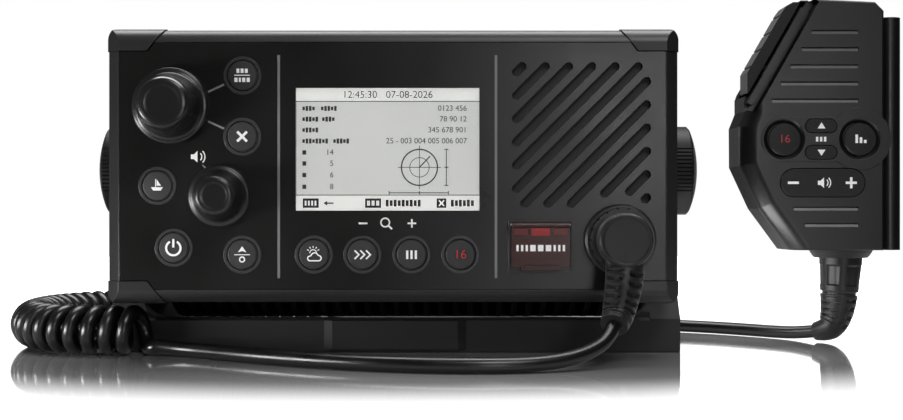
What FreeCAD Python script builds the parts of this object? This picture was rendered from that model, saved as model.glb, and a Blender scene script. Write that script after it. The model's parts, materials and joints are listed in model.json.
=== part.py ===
import FreeCAD, Part
import math
import os

# Fixed-mount marine VHF radio on a tilting bracket, with a fist microphone and its curly cord.
# Millimetres. +X is to the right seen from the front, +Y to the back and +Z up.
# Origin: the centre of the bracket's four screw holes, on the underside of its base.
# "up" is a height above the middle of the faceplate, which is also the height of the tilt axis.

os.makedirs("parts", exist_ok=True)
Vector = FreeCAD.Vector

# ---- Clearances ----
SET_GAP = 0.15  # round a piece that is set into a pocket
RUN_GAP = 0.05  # radial, round a turning shaft
KEY_GAP = 0.3  # round a key in its ring or hole
PRESS_GAP = 0.1  # left behind a key or knob at the end of its travel
CUT = 1.0  # how far a cutting tool reaches past a face

# ---- Front housing and panel ----
FACE_W = 200.0
FACE_H = 95.5
FACE_DEPTH = 18.0
FACE_CORNER_R = 3.5
PIVOT_UP = 66.85  # tilt axis above the underside of the base
JOINT_Y = -42.0  # back of the front housing
BAR_H = 4.4  # rounded bars along the top and bottom
BAR_DEPTH = 6.0
SIDE_W = 4.4  # sloped side borders
SIDE_DEPTH = 5.0
HOUSING_WALL = 2.6
PANEL_T = 2.0
PANEL_MARGIN = 0.4
PLATE_T = 2.5  # front wall of the housing, behind the panel
RIM_T = 2.5
REAR_RIM_SIDE = 4.5  # the rear opening is this much smaller than the case, on each side
REAR_RIM_RISE = 5.5
CAP_W = 14.6  # corner caps
CAP_H = 7.7
CAP_SLANT = 6.5
CAP_DEPTH = 6.0
CAP_PROUD = 0.4
POST_WALL = 2.0
CASE_SCREW_R = 1.5
CASE_SCREW_HEAD_R = 3.0
CASE_SCREW_HEAD_H = 2.4
CASE_SCREW_FROM_SIDE = 3.5  # in from the flange's edges
CASE_SCREW_FROM_TOP = 3.2

# ---- Rear housing ----
GASKET_T = 1.0
CASE_W = 177.0
CASE_H = 86.0
CASE_WALL = 3.0
CASE_BACK_WALL = 3.0
CASE_BACK_Y = 28.0
CASE_EDGE_R = 5.0
FLANGE_SIDE = 3.0  # the flange stands out from the case, on each side
FLANGE_RISE = 3.5
FLANGE_T = 5.0
FIN_T = 2.0
FIN_PITCH = 5.5
FIN_COUNT = 31
FIN_RIB_T = 2.0  # the rib across all the underside fins
FIN_GAP = 6.05  # from the bracket's base to the underside fins, which end on an arc round the tilt axis
BACK_FIN_DEPTH = 14.0
BACK_FIN_T = 2.2
BACK_FIN_PITCH = 8.0
BACK_FIN_COUNT = 21
BACK_FIN_LOW = 2.0
SINK = 0.5  # how far a joined form runs into its wall

# ---- Display ----
WINDOW_X = -1.75
WINDOW_UP = 5.8
WINDOW_W = 63.9
WINDOW_H = 42.7
WINDOW_T = 1.6
WINDOW_INSET = 0.2
LCD_MARGIN = 3.0
LCD_GAP = 0.1

# ---- Keys and knobs ----
KEY_PLACES = {
    "key_menu": (-52.3, 31.5),
    "key_cancel": (-52.3, 10.2),
    "key_ais": (-81.9, -6.9),
    "key_power": (-76.2, -28.5),
    "key_nav": (-52.3, -30.9),
    "key_weather": (-27.4, -30.9),
    "key_scan": (-10.5, -30.9),
    "key_watch": (6.6, -30.9),
    "key_channel": (23.6, -30.9),
}
KEY_R = 5.2
KEY_PROUD = 0.9
KEY_DOME = 0.25
KEY_LENGTH = 4.9
KEY_TRAVEL = 0.8
RING_R = 6.7
RING_NECK_R = 6.1
RING_PROUD = 0.35
CHANNEL_PLACE = (-77.2, 20.9)
VOLUME_PLACE = (-60.1, -10.5)
KNOB_LIFT = 1.0  # knob off the panel, for its push
KNOB_TRAVEL = 0.8
SHAFT_R = 3.0
SHAFT_FLAT = 2.2
BUSHING_R = 4.2
ENCODER_HALF = 6.0
SHAFT_OUT = 8.0  # shaft in front of the panel
CHANNEL_PROFILE = [(13.4, 0.0), (13.4, 1.2), (12.9, 1.9), (11.6, 2.2), (10.9, 3.0), (10.2, 5.0),
                   (9.7, 8.0), (9.3, 11.6), (9.0, 13.4), (8.2, 14.6), (6.6, 15.0), (5.4, 14.7)]
VOLUME_PROFILE = [(10.9, 0.0), (10.9, 1.1), (10.4, 1.7), (9.3, 2.0), (8.6, 2.8), (8.0, 4.4),
                  (7.5, 7.0), (7.1, 9.8), (6.8, 11.2), (6.1, 12.1), (4.9, 12.4), (4.0, 12.1)]

# ---- Boards ----
BOARD_T = 1.6
CONTROL_ROOM = 5.5  # between the front wall and the control board
CONTROL_FROM_SIDE = 7.4  # in from the front housing's walls
CONTROL_FROM_TOP = 11.25
CONTROL_STEP = (38.5, -16.0)  # the corner cut out for the speaker
CONTROL_RIGHT = 64.0
CONTROL_POSTS = [(-87.0, 8.0), (-64.0, -33.0), (-44.2, -8.0), (36.0, 33.5)]
POST_R = 2.3
SWITCH_R = 3.0
SWITCH_H = 3.4
PLUNGER_R = 1.6
MAIN_Y = 12.0
MAIN_GAP = 3.5  # to the case's walls
MAIN_POST_FROM_SIDE = 14.0  # in from the board's edges
MAIN_POST_FROM_TOP = 7.5
SHIELD_W = 74.0
SHIELD_H = 52.0
SHIELD_D = 11.0
SHIELD_X = -28.0
SHIELD_T = 0.8

# ---- Speaker ----
GRILLE_X = 65.8
GRILLE_UP = 10.8
GRILLE_W = 45.4  # between the slots' end centres
GRILLE_H = 47.7
SLOT_W = 3.0
SLOT_PITCH = 8.1
SLOT_COUNT = 12
SLOT_LAND = 3.1
MEMBRANE_T = 0.5
MEMBRANE_MARGIN = 0.8
SPEAKER_R = 25.0
SPEAKER_OPEN_R = 22.5
SPEAKER_RIM_T = 2.5
SPEAKER_D = 10.8
MAGNET_R = 14.0
CONE_T = 0.8

# ---- Distress button and cover ----
DISTRESS_X = 51.5
DISTRESS_UP = -28.2
DISTRESS_W = 22.4
DISTRESS_H = 18.3
DISTRESS_RIM = 0.6
DISTRESS_RIM_PROUD = 0.6
COVER_W = 20.4
COVER_TOP = -20.6  # hinge pin's height
COVER_LOW = -35.1
COVER_T = 1.0
COVER_LIFT = 0.3
COVER_TAB_W = 13.8
COVER_TAB_H = 1.0
BARREL_R = 0.95
PIN_R = 0.5
LUG_T = 0.7
BUTTON_W = 15.6
BUTTON_H = 10.6
BUTTON_UP = -28.6
BUTTON_PROUD = 0.15

# ---- Microphone socket and plug ----
SOCKET_X = 79.2
SOCKET_UP = -25.65
SOCKET_R = 12.4
SOCKET_PROUD = 3.0
SOCKET_BODY_R = 8.8
SOCKET_BORE_R = 7.1
SOCKET_BORE_D = 11.0
SOCKET_DEPTH = 13.5  # behind the faceplate
PLUG_PIN_R = 7.0
PLUG_NECK_R = 8.0
PLUG_HEAD_R = 9.3
PLUG_OUT = 19.4
PLUG_HEAD_T = 10.4
PLUG_EDGE_R = 1.0
LOCK_RING_R = 11.0
LOCK_GAP = 0.2
NOTCH_R = 0.45  # notches round the lock ring
NOTCH_COUNT = 18
BOOT_LINE = [(0.0, 5.2, -5.2, 5.1), (-0.1, 4.0, -9.2, 6.3), (-0.3, 3.7, -12.2, 6.4),
             (-1.2, 2.7, -17.2, 6.0)]  # from the middle of the plug's face
BOOT_END_RUN = 5.5  # its last stretch, in line with the cord
BOOT_END_R = (5.1, 4.5)

# ---- Rear sockets ----
ANTENNA_X = -52.0
ANTENNA_UP = -20.0
ANTENNA_R = 7.9
ANTENNA_OUT = 17.0
ANTENNA_BORE_R = 2.0
ANTENNA_BORE_D = 8.0
ANTENNA_FLANGE_HALF = 12.5
ANTENNA_FLANGE_T = 2.5
NETWORK_X = 0.0
NETWORK_R = 6.0
NETWORK_OUT = 12.0
NETWORK_NUT_R = 9.0
NETWORK_NUT_T = 3.0
GLAND_X = 48.0
GLAND_R = 8.0
GLAND_OUT = 13.0

# ---- Bracket ----
WASHER_T = 4.0
WASHER_R = 14.0
SIDE_GAP = 0.1
EAR_T = 5.0
EAR_FLANGE = 5.9
EAR_RIM = 3.6
EAR_R = 21.0
BASE_HALF_D = 40.0
BASE_T = 4.0
WALL_T = 3.5
WALL_H = 12.4
BACK_WALL_H = 5.5
FOOT_H = 12.0
KNEE_Y = 30.5
KNEE_H = 24.0
PAD_HALF_W = 22.7
PAD_SLOPE = 3.0
PAD_PROUD = 1.4
GUSSET_R = 8.6
GUSSET_Y0 = -38.0
GUSSET_Y1 = -31.0
SCREW_HOLE_R = 2.25
SCREW_X = 75.0
SCREW_Y = 25.0
STUD_R = 3.0
EAR_HOLE_GAP = 0.3
INSERT_R = 5.0
INSERT_LENGTH = 10.0
BOSS_R = 8.0

# ---- Clamp knobs ----
CLAMP_R = 17.2
CLAMP_GAP = 0.3
CLAMP_SIDE = 14.7
CLAMP_DOME = 3.1
CLAMP_EDGE = 0.7
RIB_D = 0.55
RIB_STEP = 5.0  # degrees
RIB_SECTOR = 60.0
RIB_SECTORS = 3

# ---- Microphone ----
MIC_FRONT_Y = -18.0
MIC_SPLIT_Y = -3.0
MIC_BACK_Y = 12.0
MIC_SHOULDER_R = 6.4  # rounding of the front's left edges
MIC_EDGE_R = 0.8  # rounding of its top, right and bottom edges
SEAM = (6.8, 7.7, 1.3)  # groove inside the rounded edges: from, to and depth
MIC_BACK_BEVEL = 5.0
MIC_WALL = 2.5
MIC_CAVITY_INSET = 4.0
MIC_CAVITY_FRONT_Y = -12.0
MIC_LOW = 36.2
MIC_RIGHT = 184.3
MIC_OUTLINE = [(156.5, 131.6), (MIC_RIGHT - 3.4, 130.4), (MIC_RIGHT, 127.0), (MIC_RIGHT, MIC_LOW),
               (149.6, MIC_LOW), (138.0, 52.0), (130.5, 68.2), (130.4, 83.4), (132.7, 89.2),
               (132.7, 94.9), (135.5, 94.9)]  # clockwise
MIC_LEFT_SIDES = (4, 5, 6, 7, 8)  # sides of the outline with the rounded shoulder
MIC_SPLIT_LINE = 0.1
ISLAND_R = 8.5  # raised key field: its half height, and the rounding of its left end
ISLAND_T = 0.5
DISH_R = 8.2  # dish round each round key
DISH_D = 1.3
BULGE_R = 11.9
RAIL_W = 8.2
RAIL_FRONT_Y = -14.0
RAIL_BACK_Y = 8.0
RAIL_TOP = 125.1
RAIL_R = 3.8
GROOVE_W = 1.5
GROOVE_D = 0.7
GROOVE_RIGHT = 174.5
GROOVES_UP = [(156.9, 118.9), (153.1, 112.4), (148.9, 105.9), (145.2, 99.4), (141.7, 92.9)]
GROOVES_LOW = [(150.0, 52.0), (154.3, 45.8)]
MIC_KEY_R = 6.2
MIC_KEY_PROUD = 0.5
MIC_KEY_DEPTH = 4.0
MIC_KEY_TRAVEL = 0.7
MIC_CHANNEL_PLACE = (146.4, 78.3)
MIC_POWER_PLACE = (175.0, 78.4)
PILL_X = 160.3
PILL_UP_Z = 83.3
PILL_DOWN_Z = 73.3
PILL_W = 11.7
PILL_H = 4.9
ROCKER_X = 161.0
ROCKER_Z = 61.8
ROCKER_W = 31.7
ROCKER_H = 10.4
ROCKER_GAP = 0.35
ROCKER_PROUD = 0.5
ROCKER_DEPTH = 3.0
ROCKER_PIN_R = 0.8
PTT_OUTLINE = [(133.5, 96.2), (133.5, 103.9), (134.4, 105.6), (147.0, 127.5), (148.6, 129.6),
               (151.0, 130.9), (153.7, 130.9), (133.9, 96.2)]
PTT_FRONT_Y = -13.4
PTT_BACK_Y = 0.0
PTT_SLOPE = (0.496, 0.868)  # along the bar
PTT_NORMAL = (0.868, -0.496)  # pressed along this
PTT_PLUNGER_R = 2.0
PTT_PLUNGER_L = 9.0
PTT_PLUNGER_AT = 12.0
PTT_CREASES = [0.8, 8.4, 15.9, 23.4]  # notches of the outer edge
PTT_CREASE_R = 0.45
BAND_GAP = 0.75  # from the push-to-talk bar to the raised band beside it
BAND_W = 2.45
BAND_FRONT_Y = -17.3
BAND_TOP = 37.6  # its ends, along the bar from the bar's lower end
BAND_LOW = -4.0
TRENCH_W = 2.2  # between the band and the face
TRENCH_Y = -11.5  # its floor
TRENCH_LOW = -6.0
MIC_BOARD_Y = -11.0
MIC_BOARD_T = 1.4
MIC_SCREWS = [(142.0, 72.0), (176.0, 120.0), (176.0, 46.0), (155.0, 46.0)]
MIC_SCREW_R = 1.3
MIC_POST_R = 2.9
MIC_SCREW_HEAD_R = 2.6
MIC_SCREW_HEAD_H = 1.8
HANG_PLACE = (160.0, 84.0)
HANG_NECK_R = 3.5
HANG_HEAD_R = 6.5
HANG_OUT = 6.5
HANG_HEAD_T = 2.5
MIC_BOOT_LINE = [(172.3, -2.0, 36.2, 12.2), (172.3, -2.0, 33.0, 10.2)]
MIC_BOOT_LEAD = [(172.3, -2.0, 34.0, 8.2), (171.6, -2.0, 17.5, 7.0), (171.0, -2.0, 11.5, 6.4),
                 (169.2, -2.1, 7.2, 5.6)]
MIC_BOOT_END_RUN = 5.2
MIC_BOOT_END_R = (4.6, 3.6)

# ---- Cord ----
CORD_R = 2.5
CORD_REST = 2.55  # height of the centreline where the cord lies on the floor
CURL_R = 8.9
CURL_REST = 8.95
LEAD_POINTS = [(74.5, -82.5, 13.2), (72.5, -86.3, 9.6), (67.0, -92.5, 6.0), (58.0, -99.5, 3.6),
               (46.0, -104.5, CORD_REST), (32.0, -107.0, CORD_REST), (15.0, -106.0, CORD_REST),
               (-5.0, -100.5, CORD_REST), (-26.0, -90.0, CORD_REST), (-46.0, -77.0, CORD_REST),
               (-60.0, -65.6, CORD_REST), (-69.5, -58.2, CORD_REST), (-76.5, -54.9, 2.8), (-83.0, -54.0, 3.6)]
CURL_POINTS = [(-83.5, -51.2), (-100.0, -51.0), (-117.0, -46.6), (-130.0, -36.0), (-137.0, -20.6),
               (-139.4, -3.6), (-138.0, 13.6), (-132.4, 30.0), (-120.6, 44.0), (-105.0, 55.2),
               (-86.6, 62.6), (-67.0, 66.2), (-47.0, 67.0), (-28.0, 66.2)]
TAIL_POINTS = [(-28.0, 66.2), (-10.0, 65.4), (9.0, 66.2), (29.0, 66.0), (50.0, 64.0), (71.0, 60.4),
               (90.0, 55.2), (106.0, 49.8), (119.0, 43.2), (131.0, 34.6), (141.6, 24.6), (150.4, 14.9)]
TAIL_LIFT = (157.6, 7.4, 2.8)  # where the tail starts to rise to the boot
TAIL_END = (163.6, 1.4, 4.0)

# ---- Places that follow from the sizes ----
FACE_Y = JOINT_Y - FACE_DEPTH
PANEL_BACK = FACE_Y + PANEL_T
PLATE_BACK = PANEL_BACK + PLATE_T
PANEL_HALF_W = FACE_W / 2 - SIDE_W - PANEL_MARGIN
PANEL_HALF_H = FACE_H / 2 - BAR_H - PANEL_MARGIN
CAVITY_END = JOINT_Y - RIM_T
CASE_FRONT = JOINT_Y + GASKET_T
CASE_HALF = CASE_W / 2
CONTROL_Y = PLATE_BACK + CONTROL_ROOM
CONTROL_LEFT = HOUSING_WALL + CONTROL_FROM_SIDE - FACE_W / 2
CONTROL_HALF_H = FACE_H / 2 - CONTROL_FROM_TOP
CONTROL_OUTLINE = [(CONTROL_LEFT, -CONTROL_HALF_H), (CONTROL_RIGHT, -CONTROL_HALF_H),
                   (CONTROL_RIGHT, CONTROL_STEP[1]), CONTROL_STEP, (CONTROL_STEP[0], CONTROL_HALF_H),
                   (CONTROL_LEFT, CONTROL_HALF_H)]
SOCKET_END_Y = FACE_Y + SOCKET_DEPTH
FIN_R = PIVOT_UP - BASE_T - FIN_GAP
CASE_BACK_IN = CASE_BACK_Y - CASE_BACK_WALL
REAR_OPEN_HALF_W = CASE_W / 2 - REAR_RIM_SIDE
REAR_OPEN_HALF_H = CASE_H / 2 - REAR_RIM_RISE
FLANGE_W = CASE_W + 2 * FLANGE_SIDE
FLANGE_H = CASE_H + 2 * FLANGE_RISE
CASE_SCREW_X = FLANGE_W / 2 - CASE_SCREW_FROM_SIDE
CASE_SCREW_UP = FLANGE_H / 2 - CASE_SCREW_FROM_TOP
MAIN_HALF_W = CASE_W / 2 - CASE_WALL - MAIN_GAP
MAIN_HALF_H = CASE_H / 2 - CASE_WALL - MAIN_GAP
MAIN_POST_X = MAIN_HALF_W - MAIN_POST_FROM_SIDE
MAIN_POST_UP = MAIN_HALF_H - MAIN_POST_FROM_TOP
EAR_IN = CASE_HALF + SIDE_GAP + WASHER_T
EAR_OUT = EAR_IN + EAR_T
BRACKET_HALF = EAR_OUT + EAR_FLANGE
CLAMP_IN = EAR_OUT + CLAMP_GAP
SOCKET_TOP = FACE_Y - SOCKET_PROUD
PLUG_FACE = FACE_Y - PLUG_OUT
PLUG_HEAD_BACK = PLUG_FACE + PLUG_HEAD_T
CAP_UP = FACE_H / 2 - CAP_H
HALF_TURN = 180.0


# ---- Solids ----
def box(x0, x1, y0, y1, z0, z1):
    return Part.makeBox(x1 - x0, y1 - y0, z1 - z0, Vector(x0, y0, z0))


def block(x, up, width, height, y0, y1):
    """A box centred at x and up on the face."""
    z = PIVOT_UP + up
    return box(x - width / 2, x + width / 2, y0, y1, z - height / 2, z + height / 2)


def cylinder_y(x, z, radius, y0, y1):
    return Part.makeCylinder(radius, y1 - y0, Vector(x, y0, z), Vector(0, 1, 0))


def face_hole(place, radius, y0, y1):
    return cylinder_y(place[0], PIVOT_UP + place[1], radius, y0, y1)


def cylinder_x(y, z, radius, x0, x1):
    return Part.makeCylinder(radius, x1 - x0, Vector(x0, y, z), Vector(1, 0, 0))


def cylinder_z(x, y, radius, z0, z1):
    return Part.makeCylinder(radius, z1 - z0, Vector(x, y, z0), Vector(0, 0, 1))


def closed_wire(points):
    return Part.makePolygon(points + [points[0]])


def prism_y(outline, y0, y1):
    """The outline's (x, z) points, extruded from y0 to y1."""
    wire = closed_wire([Vector(x, y0, z) for x, z in outline])
    return Part.Face(wire).extrude(Vector(0, y1 - y0, 0))


def extruded_x(edges, width):
    """A closed chain of edges in a plane across X, extruded along X."""
    return Part.Face(Part.Wire(edges)).extrude(Vector(width, 0, 0))


def prism_x(outline, x0, x1):
    """The outline's (y, z) points, extruded from x0 to x1."""
    return extruded_x(closed_wire([Vector(x0, y, z) for y, z in outline]).Edges, x1 - x0)


def turned_y(profile, x, z):
    """A solid of revolution about the line parallel to Y through x, z, from (radius, y) points."""
    wire = closed_wire([Vector(x + r, y, z) for r, y in profile])
    return Part.Face(wire).revolve(Vector(x, 0, z), Vector(0, 1, 0), 2 * HALF_TURN)


def along(shape, direction):
    """The straight edges parallel to a direction."""
    lines = [e for e in shape.Edges if e.Curve.TypeId == "Part::GeomLine"]
    return [e for e in lines if abs(e.tangentAt(e.FirstParameter).dot(direction)) > 0.999]


def rounded_y(x, up, width, height, radius, y0, y1):
    """A block with its edges along Y rounded."""
    solid = block(x, up, width, height, y0, y1)
    return solid.makeFillet(radius, along(solid, Vector(0, 1, 0)))


def mirrored(shape):
    return shape.mirror(Vector(0, 0, 0), Vector(1, 0, 0))


def tidy(shape):
    """The shape without seams between coplanar faces: one solid, or a group of them."""
    clean = shape.removeSplitter()
    solids = clean.Solids
    return solids[0] if len(solids) == 1 else Part.makeCompound(solids)


def inset(outline, distance):
    """The closed outline with each side moved inward by the distance; its points run clockwise."""
    sides = []
    for i, start in enumerate(outline):
        end = outline[(i + 1) % len(outline)]
        dx, dz = end[0] - start[0], end[1] - start[1]
        length = math.hypot(dx, dz)
        nx, nz = dz / length, -dx / length
        sides.append((start[0] + nx * distance, start[1] + nz * distance, dx, dz))
    points = []
    for i, (x2, z2, dx2, dz2) in enumerate(sides):
        x1, z1, dx1, dz1 = sides[i - 1]
        cross = dx1 * dz2 - dz1 * dx2
        t = ((x2 - x1) * dz2 - (z2 - z1) * dx2) / cross
        points.append((x1 + t * dx1, z1 + t * dz1))
    return points


def layered(*layers):
    """A ruled solid through (outline, y) layers with as many points each."""
    wires = [closed_wire([Vector(x, y, z) for x, z in outline]) for outline, y in layers]
    return Part.makeLoft(wires, True, True)


def limb(line):
    """Cones between (x, y, z, radius) points, joined by balls: a boot or strain relief."""
    solid = None
    for (x0, y0, z0, r0), (x1, y1, z1, r1) in zip(line, line[1:]):
        start, end = Vector(x0, y0, z0), Vector(x1, y1, z1)
        cone = Part.makeCone(r0, r1, (end - start).Length, start, end - start)
        solid = cone if solid is None else solid.fuse(Part.makeSphere(r0, start)).fuse(cone)
    return solid


def boot(line, end, beyond, run, radii):
    """A limb that ends square to its cord: end is the cord's first point and beyond the next one."""
    ahead = Vector(*beyond) - Vector(*end)
    ahead.normalize()
    before = Vector(*end) - ahead * run
    return limb(line + [(before.x, before.y, before.z, radii[0]), (*end, radii[1])])


def pill(x, z, width, height, y0, y1):
    """A plate with half-round ends."""
    r = height / 2
    reach = width / 2 - r
    ends = [cylinder_y(x + side * reach, z, r, y0, y1) for side in (-1, 1)]
    return tidy(box(x - reach, x + reach, y0, y1, z - r, z + r).fuse(ends))


def tube(name, points, radius):
    """A round tube along straight runs joined by tangent arcs, each as large as its runs allow."""
    corners = [Vector(*p) for p in points]
    edges, radii, at = [], [], corners[0]
    for before, here, after in zip(corners, corners[1:], corners[2:]):
        arriving, leaving = here - before, after - here
        run_in, run_out = arriving.Length, leaving.Length
        arriving.normalize()
        leaving.normalize()
        turn = math.acos(max(-1.0, min(1.0, arriving.dot(leaving))))
        cut = 0.45 * min(run_in, run_out)
        radii.append(cut / math.tan(turn / 2))
        start, end = here - arriving * cut, here + leaving * cut
        inward = leaving - arriving
        inward.normalize()
        centre = here + inward * (cut / math.sin(turn / 2))
        middle = centre - inward * radii[-1]
        edges += [Part.LineSegment(at, start).toShape(), Part.Arc(start, middle, end).toShape()]
        at = end
    edges.append(Part.LineSegment(at, corners[-1]).toShape())
    path = Part.Wire(edges)
    ring = Part.Wire(Part.makeCircle(radius, corners[0], corners[1] - corners[0]))
    solid = path.makePipeShell([ring], True, False)
    ideal = math.pi * radius ** 2 * path.Length
    print(f"{name}: length {path.Length:.1f}, volume {solid.Volume / ideal:.4f} of section times length, "
          f"radii {[round(r) for r in radii]}")
    return solid


# ---- Front housing, panel and caps ----
def bezel(grow):
    """The outer form of the faceplate: rounded bars above and below, sloped borders at the sides."""
    top, front = FACE_H / 2 + grow, FACE_Y - grow
    arc_y, arc_up = FACE_Y + BAR_DEPTH, FACE_H / 2 - BAR_H
    reach_y, reach_up = BAR_DEPTH + grow, BAR_H + grow
    diagonal = math.sqrt(0.5)
    half = FACE_W / 2 + grow

    def point(y, up):
        return Vector(-half, y, PIVOT_UP + up)

    edges = [
        Part.LineSegment(point(JOINT_Y, -top), point(arc_y, -top)).toShape(),
        Part.Arc(point(arc_y, -top), point(arc_y - reach_y * diagonal, -arc_up - reach_up * diagonal),
                 point(front, -arc_up)).toShape(),
        Part.LineSegment(point(front, -arc_up), point(front, arc_up)).toShape(),
        Part.Arc(point(front, arc_up), point(arc_y - reach_y * diagonal, arc_up + reach_up * diagonal),
                 point(arc_y, top)).toShape(),
        Part.LineSegment(point(arc_y, top), point(JOINT_Y, top)).toShape(),
        Part.LineSegment(point(JOINT_Y, top), point(JOINT_Y, -top)).toShape(),
    ]
    side = extruded_x(edges, 2 * half)
    inner = FACE_W / 2 - SIDE_W
    slope_y = FACE_Y + SIDE_DEPTH
    plan = [(-half, JOINT_Y), (-half, slope_y), (-inner, front),
            (inner, front), (half, slope_y), (half, JOINT_Y)]
    low, high = PIVOT_UP - top, PIVOT_UP + top
    above = Part.Face(closed_wire([Vector(x, y, low) for x, y in plan])).extrude(Vector(0, 0, high - low))
    outline = rounded_y(0, 0, 2 * half, 2 * top, FACE_CORNER_R + grow, front, JOINT_Y)
    return side.common(above).common(outline)


def corner(side, level, gap, y0, y1):
    """The prism that a corner cap takes up, less a gap along its seams."""
    outer, inner = FACE_W / 2 + CUT, FACE_W / 2 - CAP_W + gap
    low, high = CAP_UP + gap, FACE_H / 2 + CUT
    outline = [(outer, low), (inner, low), (inner - CAP_SLANT, high), (outer, high)]
    return prism_y([(side * x, PIVOT_UP + level * up) for x, up in outline], y0, y1)


CORNERS = [(side, level) for side in (-1, 1) for level in (-1, 1)]


def front_housing():
    post_x = FACE_W / 2 - CAP_W - CAP_SLANT - POST_WALL
    y0, y1 = PANEL_BACK - CUT, PLATE_BACK + CUT
    lcd_margin = 2 * (LCD_MARGIN + SET_GAP)
    membrane_w, membrane_h = membrane_size()
    plate_holes = (
        [face_hole(place, RING_NECK_R - KEY_GAP, y0, y1) for place in KEY_PLACES.values()]
        + [face_hole(place, BUSHING_R + SET_GAP, y0, y1) for place in (CHANNEL_PLACE, VOLUME_PLACE)]
        + [face_hole((SOCKET_X, SOCKET_UP), SOCKET_BODY_R + SET_GAP, y0, y1),
           face_hole((GRILLE_X, GRILLE_UP), SPEAKER_OPEN_R, y0, y1),
           block(WINDOW_X, WINDOW_UP, WINDOW_W + lcd_margin, WINDOW_H + lcd_margin, y0, y1),
           block(GRILLE_X, GRILLE_UP, membrane_w + 2 * SET_GAP, membrane_h + 2 * SET_GAP, y0,
                 PANEL_BACK + MEMBRANE_T),
           block(DISTRESS_X, BUTTON_UP, BUTTON_W + 2 * KEY_GAP, BUTTON_H + 2 * KEY_GAP, y0, y1)]
    )
    cavities = [
        block(0, 0, FACE_W - 2 * HOUSING_WALL, 2 * (CAP_UP - POST_WALL), PLATE_BACK, CAVITY_END),
        block(0, 0, 2 * post_x, FACE_H - 2 * HOUSING_WALL, PLATE_BACK, CAVITY_END),
        block(0, 0, 2 * REAR_OPEN_HALF_W, 2 * REAR_OPEN_HALF_H, CAVITY_END - CUT, JOINT_Y + CUT),
        block(0, 0, 2 * (PANEL_HALF_W + SET_GAP), 2 * (PANEL_HALF_H + SET_GAP), FACE_Y - CUT, PANEL_BACK),
    ]
    recesses = [corner(side, level, 0, FACE_Y - CUT, FACE_Y + CAP_DEPTH) for side, level in CORNERS]
    screws = []
    for side, level in CORNERS:
        place = (side * CASE_SCREW_X, level * CASE_SCREW_UP)
        seat = FACE_Y + CAP_DEPTH
        screws.append(face_hole(place, CASE_SCREW_R + SET_GAP, seat - CUT, JOINT_Y + CUT))
        screws.append(face_hole(place, CASE_SCREW_HEAD_R + SET_GAP, seat - CUT, seat + CASE_SCREW_HEAD_H))
    posts = [face_hole(place, POST_R, PLATE_BACK - SINK, CONTROL_Y) for place in CONTROL_POSTS]
    return tidy(bezel(0).cut(cavities + plate_holes + recesses + screws).fuse(posts))


def slot_lines():
    """(lower end, upper end) of each slot's centreline, on lines that rise to the right at 45 degrees."""
    left, right = GRILLE_X - GRILLE_W / 2, GRILLE_X + GRILLE_W / 2
    low, high = GRILLE_UP - GRILLE_H / 2, GRILLE_UP + GRILLE_H / 2
    keep_off = SOCKET_R + SLOT_W / 2 + SLOT_LAND
    lines = []
    for i in range(SLOT_COUNT):
        offset = GRILLE_X - GRILLE_UP + (i - (SLOT_COUNT - 1) / 2) * SLOT_PITCH
        x0, x1 = max(left, low + offset), min(right, high + offset)
        middle = (SOCKET_X + SOCKET_UP + offset) / 2
        square = keep_off ** 2 / 2 - ((SOCKET_X - SOCKET_UP - offset) / 2) ** 2
        if square > 0:
            x0 = max(x0, middle + math.sqrt(square))
        x0 = min(x0, x1 - CUT / 2)
        lines.append(((x0, x0 - offset), (x1, x1 - offset)))
    return lines


def slot_tool(start, end, y0, y1):
    (x0, up0), (x1, up1) = start, end
    length = math.hypot(x1 - x0, up1 - up0)
    nx, nz = -(up1 - up0) / length * SLOT_W / 2, (x1 - x0) / length * SLOT_W / 2
    bar = prism_y([(x0 + nx, PIVOT_UP + up0 + nz), (x1 + nx, PIVOT_UP + up1 + nz),
                   (x1 - nx, PIVOT_UP + up1 - nz), (x0 - nx, PIVOT_UP + up0 - nz)], y0, y1)
    return bar.fuse([face_hole(start, SLOT_W / 2, y0, y1), face_hole(end, SLOT_W / 2, y0, y1)])


def membrane_size():
    return (GRILLE_W + SLOT_W + 2 * MEMBRANE_MARGIN, GRILLE_H + SLOT_W + 2 * MEMBRANE_MARGIN)


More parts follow.
